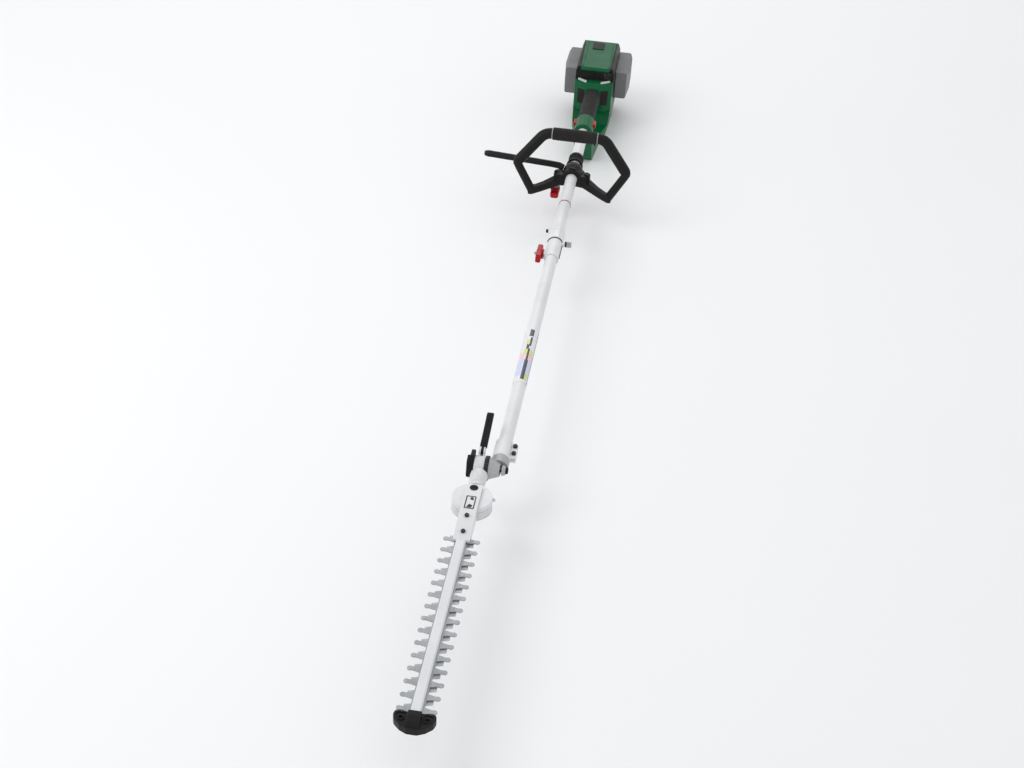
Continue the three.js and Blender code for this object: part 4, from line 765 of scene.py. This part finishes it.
def build_index_plate():
    low, high = (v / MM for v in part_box("index_plate"))
    tooth = ((0.0, INDEX_TIP_R), (0.32, INDEX_TIP_R), (0.42, INDEX_ROOT_R), (0.58, INDEX_ROOT_R), (0.68, INDEX_TIP_R))
    outline = []
    for i in range(INDEX_NOTCHES):
        for share, radius in tooth:
            angle = 2 * math.pi * (i + share) / INDEX_NOTCHES
            outline.append((radius * math.cos(angle), radius * math.sin(angle)))
    plate = prism("x", outline, low.x, high.x, 0.4, 2)
    bore = rod("x", (0, 0), low.x - 1, high.x + 1, INDEX_BORE, sides=40)
    notches = [rod("x", (INDEX_RADIUS * math.cos(a), INDEX_RADIUS * math.sin(a)), low.x - 1, high.x - 2, NOTCH_R,
                   sides=16) for a in (2 * math.pi * i / INDEX_NOTCHES for i in range(INDEX_NOTCHES))]
    show("index_disc", without(plate, bore, *notches), PIVOT, "dark_steel", "shaft_frame", ("index_plate",))


# ---------------------------------------------------------------- shaft

TUBE_R, TUBE_BORE = 13, 11.5
WRAP_BORE = TUBE_R + 0.1  # of what is stuck on a tube
SLEEVE_BORE = TUBE_R + 0.3  # of what a tube is pushed into
CLAMP_BORE = TUBE_R + 0.5


def build_shaft():
    for name, node, look, bore, radius, edge, sides in (
        ("lower_tube_smooth", "lower_tube", "white_paint", TUBE_BORE, TUBE_R, 0.5, 72),
        ("upper_tube_smooth", "upper_tube", "white_paint", TUBE_BORE, TUBE_R, 0.5, 72),
        ("label_sleeve", "shaft_label", "label_film", WRAP_BORE, 13.5, 0.15, 96),
        ("marker_band", "marker_ring", "red_plastic", WRAP_BORE, 13.6, 0.2, 72),
    ):
        low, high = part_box(node)
        made = pipe("y", 0, (high.y - low.y) / MM, bore, radius, edge, sides)
        show(name, made, Vector((0, low.y, AXIS_Z)), look, "shaft_frame", (node,))


# ---------------------------------------------------------------- coupling

KNOB_Y, LOCK_PIN_Y, REAR_BOLT_Y = -58, -8, 40


def build_coupling():
    sleeve = fillet([(-78, SLEEVE_BORE), (-78, 15.4), (-10.5, 15.8), (-10, 17), (26, 17), (32, 16.6), (54, 15.2),
                     (54, SLEEVE_BORE)], [0.3, 0.8, 0.6, 1.2, 8, 8, 0.8, 0.3], 4)
    body = joined(
        lathe("y", sleeve, 72, True),
        prism("x", fillet([(-67, -8), (-49, -8), (-49, 8), (-67, 8)], 3, 4), -18, -14, 0.8, 2),
        lathe("x", fillet([(14, 7.4), (19, 7.2), (21, 6.4), (21, 2)], [0, 1.5, 0.8, 0], 3, False), 48,
              at=(LOCK_PIN_Y, 0)),
        lathe("x", fillet([(-21, 1), (-21, 4.4), (-19, 5), (-14, 6.4)], [0, 0.8, 1, 0], 3, False), 40,
              at=(REAR_BOLT_Y, 0)),
        prism("z", fillet([(-6, -8), (6, -8), (6, 36), (-6, 36)], 3, 4), 13.4, 17.5, 0.5, 2),
        pipe("z", 17, 18.1, 2.6, 4.2, 0.3, 40, (0, 26)),
    )
    body = without(
        body,
        block(-26, 0, -79, -10, -0.8, 0.8),
        rod("x", (KNOB_Y, 0), -27, 0, 3.5, sides=32),
        rod("x", (LOCK_PIN_Y, 0), 0, 27, 3.5, sides=32),
        rod("x", (REAR_BOLT_Y, 0), -27, 0, 2.8, sides=32),
        rod("y", (0, 0), -80, 60, SLEEVE_BORE, sides=72),
    )
    show("coupling_body", body, JOINT, "white_paint", "shaft_frame", ("coupling_sleeve",))
    reach = 16.6
    arc = [(reach * math.cos(a), -10.8, reach * math.sin(a))
           for a in (math.radians(168 - 7 * k) for k in range(22))]
    bend = [(reach - 0.2, -13, 0), (reach - 0.4, -18, 0.6), (reach - 0.5, -30, 1), (reach - 0.6, -70, 1)]
    show("coupling_rim", sweep(arc + bend, 1.1, 16), JOINT, "dark_steel", "shaft_frame")
    build_coupling_knob()
    build_lock_pin()
    show("rear_bolt", socket_bolt("x", (REAR_BOLT_Y, 0), -26, -21.3, 4.0, -1), JOINT, "black_metal",
         "shaft_frame", ("coupling_bolt",))


def socket_bolt(axis, at, low, high, radius, face):
    """A cap-screw head with a hexagon socket in its outer face; face is the side it looks to."""
    head = rod(axis, at, low, high, radius, 0.6, 40)
    place = [(at[0] + radius * 0.5 * math.cos(a), at[1] + radius * 0.5 * math.sin(a))
             for a in (math.pi / 3 * k for k in range(6))]
    deep = (high - low) * 0.55
    socket = prism(axis, place, low - 1, low + deep) if face < 0 else prism(axis, place, high - deep, high + 1)
    return without(head, socket)


def wing(reach, thick, height, hub):
    """A wing knob about the X axis, its wings along Y: waisted, ribbed, with a sunk screw end."""
    upper = [(reach, height * 0.62), (reach * 0.8, height), (hub, height), (-hub, height), (-reach * 0.8, height),
             (-reach, height * 0.62)]
    side = [(y, -z) for y, z in reversed(upper)] + upper
    wings = prism("x", fillet(side, 3, 3), -thick, -4, 2.6, 4)
    core = lathe("x", fillet([(-thick - 0.5, 3.4), (-thick - 0.5, hub - 2), (-4, hub), (-0.3, hub), (-0.3, 3.4)],
                             [0.5, 1.2, 0.5, 0.8, 0.3], 3), 48, True)
    grooves = [prism("x", fillet([(y - 1, -height - 2), (y + 1, -height - 2), (y + 1, height + 2),
                                  (y - 1, height + 2)], 0.4, 2), -thick - 1, -thick + 1.3, 0)
               for y in (-reach + 4.5, -reach + 8, reach - 8, reach - 4.5)]
    return joined(without(wings, *grooves, rod("x", (0, 0), -thick - 1, 0, 3.4, sides=32)), core)


def build_coupling_knob():
    place = JOINT + Vector((-18.5, KNOB_Y, 0)) * MM
    show("coupling_wing", wing(28, 15, 9.5, 11), place, "red_plastic", "coupling_wing", ("coupling_knob",))
    show("coupling_screw", rod("x", (0, 0), -20, 4, 3, 0.5, 32), place, "bare_casting", "coupling_wing")


def build_lock_pin():
    place = JOINT + Vector((0, LOCK_PIN_Y, 0)) * MM
    ridges = 36
    outline = []
    for k in range(2 * ridges):
        angle = math.pi * k / ridges
        radius = 6.3 if k % 2 else 5.8
        outline.append((radius * math.cos(angle), radius * math.sin(angle)))
    knurl = prism("x", outline, 25, 31, 0.3, 2)
    collar = lathe("x", fillet([(21.4, 1), (21.4, 6.2), (24, 6.2), (24.6, 5.2), (25.4, 5.2)], [0, 0.5, 0.5, 0.2, 0],
                               2, False), 48)
    flare = lathe("x", fillet([(30.8, 5.2), (32, 5.0), (34, 6.6), (35, 6.6), (35, 1)], [0, 1, 0.6, 0.5, 0], 3, False),
                  48)
    show("pin_knurl", joined(knurl, flare), place, "bare_casting", "coupling_lock", ("coupling_pin",))
    show("pin_collar", collar, place, "black_metal", "coupling_lock")


# ---------------------------------------------------------------- loop handle

LOOP_BOTTOM, LOOP_OUTER, LOOP_TOP = (89, -42, -27), (126, -38, 37), (68, -12, 105)


def mirrored(point, side):
    return (side * point[0], point[1], point[2])


def build_loop():
    right = [LOOP_BOTTOM, LOOP_OUTER, LOOP_TOP]
    corners = [mirrored(p, -1) for p in right] + right[::-1]
    path = fillet(corners, [0, 13, 34, 34, 13, 0], 10, False)
    radii = [9.5 if p[2] < LOOP_OUTER[2] - 4 else min(12.3, 10.6 + (p[2] - LOOP_OUTER[2] + 4) * 0.17) for p in path]
    show("loop_tube", sweep(path, radii, 40, False), HANDLE, "black_plastic", "loop", ("loop_handle",))
    y, z = LOOP_TOP[1:]
    for side, name in SIDES:
        for number, x in ((51, 45.5), (57, 51.5)):
            seam = lathe("x", fillet([(-0.9, 12), (-0.9, 12.7), (0.9, 12.7), (0.9, 12)], 0.3, 2), 64, True, (y, z))
            show(f"seam_{name}_{number}", seam, HANDLE + Vector((side * x, 0, 0)) * MM, "bare_casting", "loop")
    ends = fillet([(-50, 12.6), (-50, 14.0), (-48, 14.4), (-45, 14.4), (-44.2, 13.7), (-43, 13.7), (-42.2, 14.4),
                   (42.2, 14.4), (43, 13.7), (44.2, 13.7), (45, 14.4), (48, 14.4), (50, 14.0), (50, 12.6)], 0.4, 2)
    show("loop_sleeve", lathe("x", ends, 64, True, (y, z)), HANDLE, "soft_grip", "loop", ("loop_grip",))
    build_clamp()
    path = [(-23.5, 13, 8), (-34, 17.5, 10.5), (-50, 20.5, 10.6), (-130, 31, 9.3), (-196, 40, 8.3),
            (-201, 40.6, 8.2), (-204, 41, 8.1), (-212, 42, 8)]
    barrier = sweep(path, [8.6, 8.4, 8.2, 8.2, 8.4, 8.6, 8.4, 6.2], 6, False)
    barrier = softened(barrier, 1.6, 3, 20)
    barrier = without(barrier, rod("y", (0, 0), -40, 60, 23.2, sides=64), block(-43, 0, -25, 6.4, -9, 9))
    show("barrier_rod", barrier, HANDLE, "black_metal", "loop", ("barrier_bar",))
    build_carry_band()


CLAMP_KNOB, CLAMP_BOLT = (-36, -13), (34, -10)
CLAMP_HOLES = ((CLAMP_KNOB, 3.5), (CLAMP_BOLT, 2.8))


def clamp_lug(side, low, high, at):
    outline = [(0, -22), (at + side * 2, -22), (at + side * 8, -17), (at + side * 8, -3), (at + side * 3, 4), (0, 5)]
    return prism("z", fillet(outline, [0, 3, 5, 6, 3, 0], 4), low, high, 1.4, 3)


def build_clamp():
    barrel = [(-23, 13.5), (-23, 19), (-20.5, 22.2), (-12, 23), (12, 23), (20.5, 22.2), (23, 19), (23, 13.5)]
    barrel = fillet(barrel, [0.4, 1.5, 3, 8, 8, 3, 1.5, 0.4], 4)
    top = joined(lathe("y", barrel, 72, True), clamp_lug(-1, 0.3, 8, -34), clamp_lug(1, 0.3, 8, 34))
    sinks = [rod("z", at, 6.6, 9, r + 3.4, sides=40) for at, r in CLAMP_HOLES]
    saddle = prism("y", fillet([(-9, 20), (9, 20), (7, 24.5), (-7, 24.5)], [0, 0, 1.5, 1.5], 3), -17, 17, 0.8, 2)
    grooves = [pipe("y", y, y + 2.4, 22.4, 26, 0, 72) for y in (-9, -3, 3)]
    top = without(joined(top, saddle), block(-90, 90, -90, 90, -90, 0.3),
                  rod("y", (0, 0), -30, 30, CLAMP_BORE, sides=72), *sinks, *grooves,
                  *[rod("z", at, -20, 20, r, sides=32) for at, r in CLAMP_HOLES])
    show("clamp_cap", top, HANDLE, "black_plastic", "loop", ("handle_clamp_top",))
    base = joined(lathe("y", barrel, 72, True), clamp_lug(-1, -8, -0.3, -34), clamp_lug(1, -8, -0.3, 34))
    x, y, z = LOOP_BOTTOM
    for side in (-1, 1):
        path = [(side * 12, -4, -12), (side * 34, -9, -14.5), (side * 58, -26, -21), (side * 78, -38, -25.5),
                (side * 90, y, z), (side * 97, y - 1, z - 1)]
        arm = loft_bar(path, (0, 1, 0.05), [(17, 11), (15.5, 9.5), (12.5, 8.2), (11, 8.4), (12, 10.5), (10.5, 9)])
        window = loft_bar([(side * 40, -13, -4), (side * 56, -24, -9), (side * 70, -34, -13.5)], (0, 1, 0),
                          [(8, 2.6), (7, 3.0), (5, 2.6)])
        base = joined(base, without(arm, window))
    legs = [sweep([(s * x, y, z), mirrored(LOOP_OUTER, s)], 9.8, 32, False) for s in (-1, 1)]
    base = without(base, block(-60, 60, -60, 60, -0.3, 60), rod("y", (0, 0), -30, 30, CLAMP_BORE, sides=72),
                   *legs, rod("z", CLAMP_KNOB, -60, -31.2, 24, sides=40),
                   *[rod("z", at, -60, 20, r, sides=32) for at, r in CLAMP_HOLES])
    show("clamp_base", base, HANDLE, "black_plastic", "loop", ("handle_bracket",))
    for side, name in SIDES:
        plug = rod("y", (side * x, z), y - 12.6, y - 6, 6.2, 1.2, 40)
        show(f"corner_plug_{name}", plug, HANDLE, "black_metal", "loop")
    show("clamp_bolt_head", socket_bolt("z", CLAMP_BOLT, 7, 12.6, 5, 1), HANDLE, "dark_steel", "loop",
         ("handle_bolt",))
    place = HANDLE + Vector((*CLAMP_KNOB, -31.5)) * MM
    knob = wing(22, 17, 9.5, 11)
    knob.data.transform(Matrix.Rotation(math.radians(-90), 4, "Y"))
    show("clamp_wing", knob, place, "red_plastic", "loop_wing", ("handle_knob",))
    stud = rod("z", (0, 0), -20, 34, 3, 0.5, 32)
    show("clamp_stud", stud, place, "bare_casting", "loop_wing")


def build_carry_band():
    low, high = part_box("carry_band")
    place = Vector((0, low.y, AXIS_Z))
    length = (high.y - low.y) / MM
    outline = [(0, SLEEVE_BORE), (0, 17), (1.2, 17.5), (8, 17.5), (9, 16.2)]
    count = 7
    step = (length - 18) / count
    for k in range(count):
        outline += [(9 + step * (k + 0.15), 15.8), (9 + step * (k + 0.35), 16.9), (9 + step * (k + 0.8), 16.9)]
    outline += [(length - 9, 15.8), (length - 8.4, 17.5), (length - 1.2, 17.5), (length, 17),
                (length, SLEEVE_BORE)]
    show("band_ribs", lathe("y", fillet(outline, 0.4, 2), 72, True), place, "soft_grip", "shaft_frame",
         ("carry_band",))
    low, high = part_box("carry_eye")
    wire, ring_r, eye_r = 1.9, 17.4, 5
    ring = [(ring_r * math.cos(a), 0, ring_r * math.sin(a)) for a in (2 * math.pi * k / 64 for k in range(64))]
    eye = [(ring_r * 0.77 + 4 + eye_r * math.cos(a), 0, -ring_r * 0.64 - 4 + eye_r * math.sin(a))
           for a in (2 * math.pi * k / 32 for k in range(32))]
    made = joined(hoop(ring, wire), hoop(eye, wire))
    show("eye_wire", made, Vector((0, (low.y + high.y) / 2, AXIS_Z)), "black_metal", "shaft_frame", ("carry_eye",))


def hoop(path, radius, sides=16):
    """A closed ring of round wire in a plane square to Y."""
    points = [Vector(p) for p in path]
    middle = sum(points, Vector()) / len(points)
    rings = []
    for point in points:
        outward = (point - middle).normalized()
        rings.append([tuple(point + outward * radius * math.cos(a) + Vector((0, radius * math.sin(a), 0)))
                      for a in (2 * math.pi * k / sides for k in range(sides))])
    return skin(rings, True)


# ---------------------------------------------------------------- power head

SOCKET, NECKLINE, LENGTH, HALF, DROP, TOP = 60, 212, 408, 49, 104, 70
BAND_Y, COVER_FRONT = 237, 62  # where the black band starts, and the cover's height behind it
HEAD_SIDE = [(14, -12), (208, -12), (210, 18), (218, 30), (BAND_Y - 1, 32), (BAND_Y + 1, 58),
             (BAND_Y + 5, COVER_FRONT), (386, TOP), (400, 62), (LENGTH, 42), (LENGTH, -62), (386, -96),
             (350, -DROP), (66, -DROP), (54, -90)]
SIDE_ROUND = [0, 0, 6, 6, 2, 3, 3, 9, 8, 12, 14, 12, 4, 4, 8]
HAND_SPACE = [(64, -11), (200, -11), (216, -34), (220, -54), (206, -74), (92, -80), (78, -70)]
HAND_ROUND = [8, 10, 14, 14, 12, 10, 6]
HEAD_PLAN = [(22, 0), (22, SOCKET), (30, 150), (44, 205), (47, 225), (HALF, 270), (HALF, LENGTH)]
PLAN_ROUND = [0, 20, 40, 16, 10, 10, 8]
HEAD_FRONT = [(38, -DROP), (HALF, -72), (HALF, 46), (42, TOP)]
FRONT_ROUND = [4, 14, 10, 4]
SHOULDER_SLOPE = 0.5
COVER_PLAN = [(35.5, NECKLINE), (41, LENGTH + 9)]
COVER_EDGE = 54
CASE_SPLIT = [(286, -200), (286, -40), (252, 8), (BAND_Y - 4, 29), (BAND_Y - 4, 200), (600, 200), (600, -200)]
GRIP_R, NOSE_R = 17, 23
WALL, FIT = 3.5, 0.3


def both(points):
    return points + [(-x, y) for x, y in reversed(points)]


def both_radii(radii):
    return radii + list(reversed(radii))


def head_body(depth):
    """The head without its grip and nose, moved in by depth on every face."""
    side = prism("x", inset(fillet(HEAD_SIDE, SIDE_ROUND, 5), depth), -90, 90)
    plan = prism("z", inset(fillet(both(HEAD_PLAN), both_radii(PLAN_ROUND), 5), depth), -200, 200)
    front = prism("y", inset(fillet(both(HEAD_FRONT), both_radii(FRONT_ROUND), 6), depth), -9, LENGTH + 9)
    hand = prism("x", inset(fillet(HAND_SPACE, HAND_ROUND, 5), -depth), -90, 90)
    near = GRIP_R - depth
    wall = NECKLINE - 3 + 2 * depth
    space = [(near, -9), (90, -9), (90, wall + SHOULDER_SLOPE * (90 - near)), (near, wall)]
    beside = [prism("z", [(s * x, y) for x, y in space], -43, 90) for s in (-1, 1)]
    return without(common(side, plan, front), hand, *beside)


def cover_space(grow, floor):
    return common(prism("z", inset(both(COVER_PLAN), -grow), floor, 200), block(-90, 90, NECKLINE, 600, 0, 201))


def build_head():
    outer = joined(
        head_body(0),
        rod("y", (0, 0), 0, SOCKET, NOSE_R, 3),
        rod("y", (0, 0), SOCKET - 4, NECKLINE + 6, GRIP_R),
    )
    inner = common(head_body(WALL),
                   joined(block(-38, 38, 280, LENGTH, -200, 200), block(-90, 90, -9, 281, -200, 200)))
    bays = [block(*((43.5, 90) if s > 0 else (-90, -43.5)), 291.5, 500, -37.5, 33.5) for s in (-1, 1)]
    buttons = [block(*((14.5, 40) if s > 0 else (-40, -14.5)), 29.5, 52.5, -1.5, 11.5) for s in (-1, 1)]
    shell = without(
        outer, inner, cover_space(FIT, COVER_EDGE - FIT),
        rod("y", (0, 0), -5, SOCKET, SLEEVE_BORE, sides=64),
        rod("y", (0, 0), SOCKET - 4, NECKLINE + 30, GRIP_R - WALL),
        block(-6, 6, 66, 122, -26, 0), *bays, *buttons,
    )
    quarters = {}
    for side, name in SIDES:
        for rear in (False, True):
            part = shell.copy()
            part.data = shell.data.copy()
            bpy.context.scene.collection.objects.link(part)
            lap = block(-1, 8 + (FIT if side > 0 else 0), 70, 346, -DROP - 1, -DROP + 1.6)
            half = block(0.15, 90, -50, 600, -200, 200) if side > 0 else block(-90, -0.15, -50, 600, -200, 200)
            half = without(half, lap) if side > 0 else joined(half, lap)
            if rear:
                part = common(part, half, prism("x", CASE_SPLIT, -91, 91))
            else:
                part = without(common(part, half), prism("x", inset(CASE_SPLIT, -FIT), -91, 91))
            quarters[name, rear] = part
    bpy.data.objects.remove(shell)
    for (name, rear), part in quarters.items():
        node = f"motor_case_{name}" if rear else f"handle_shell_{name}"
        look = "black_plastic" if rear else "green_plastic"
        show(node + "_skin", softened(part, 0.5, 2, 40), NOSE, look, "shaft_frame", (node,))
    cover = without(common(head_body(0), cover_space(0, COVER_EDGE)),
                    common(head_body(WALL), cover_space(-3, COVER_EDGE - 9)))
    show("top_cover_skin", softened(cover, 0.8, 3, 40), NOSE, "green_plastic", "shaft_frame", ("top_cover",))
    for node, look, width in (("badge_plate", "black_plastic", 0.4), ("grip_sleeve", "soft_grip", 0.6)):
        show(node + "_skin", refined(node, width), ORIGIN, look, "shaft_frame", (node,))
    for _, side in SIDES:
        show(f"battery_{side}_skin", refined(f"battery_{side}", 1.6, 3, 20), ORIGIN, "battery_shell",
             f"pack_{side}", (f"battery_{side}",))
        show(f"lock_button_{side}_skin", refined(f"lock_button_{side}", 1.5, 3), ORIGIN, "red_plastic",
             f"button_{side}", (f"lock_button_{side}",))
    show("trigger_skin", refined("trigger", 0.8, 3), ORIGIN, "black_plastic", "trigger_blade", ("trigger",))
    build_head_trim()


def build_head_trim():
    """Soft pads and pale flashes on the shoulders, the cover's raised edges, and the band's grille."""
    for side, name in SIDES:
        face = [(21, 213.4), (27, 216.4), (36.5, 221.2), (38, 222), (38, 228), (21, 219)]
        panel = prism("z", [(side * x, y - 3.6) for x, y in face], -26, 14, 1.4, 3)
        show(f"shoulder_pad_{name}", panel, NOSE, "soft_grip", "shaft_frame")
        flash = prism("z", fillet([(side * x, y) for x, y in ((18, 216), (40, 229), (41, 236), (36, 236), (18, 224))],
                                  [1, 2, 2, 1, 1], 3), 30.5, 33.6, 0.8, 2)
        show(f"shoulder_flash_{name}", flash, NOSE, "cast_metal", "shaft_frame")
        rail = prism("x", [(BAND_Y + 9, COVER_FRONT + 0.2), (LENGTH - 26, TOP - 0.4), (LENGTH - 26, TOP + 1.5),
                           (BAND_Y + 9, COVER_FRONT + 2)], *sorted((side * 31, side * 33.6)), 0.7, 2)
        show(f"cover_rail_{name}", rail, NOSE, "green_plastic", "shaft_frame")
    slats = [block(*sorted((x, x + 1.6)), BAND_Y - 0.6, BAND_Y + 1.6, 37, 53) for x in range(24, 40, 3)]
    show("band_grille", joined(*slats), NOSE, "black_metal", "shaft_frame")


# ---------------------------------------------------------------- scene

set_camera()
set_studio()
lay_floor()
dress_kept_nodes()
build_cutter_bar()
build_gear_head()
build_shaft()
build_coupling()
build_loop()
build_head()
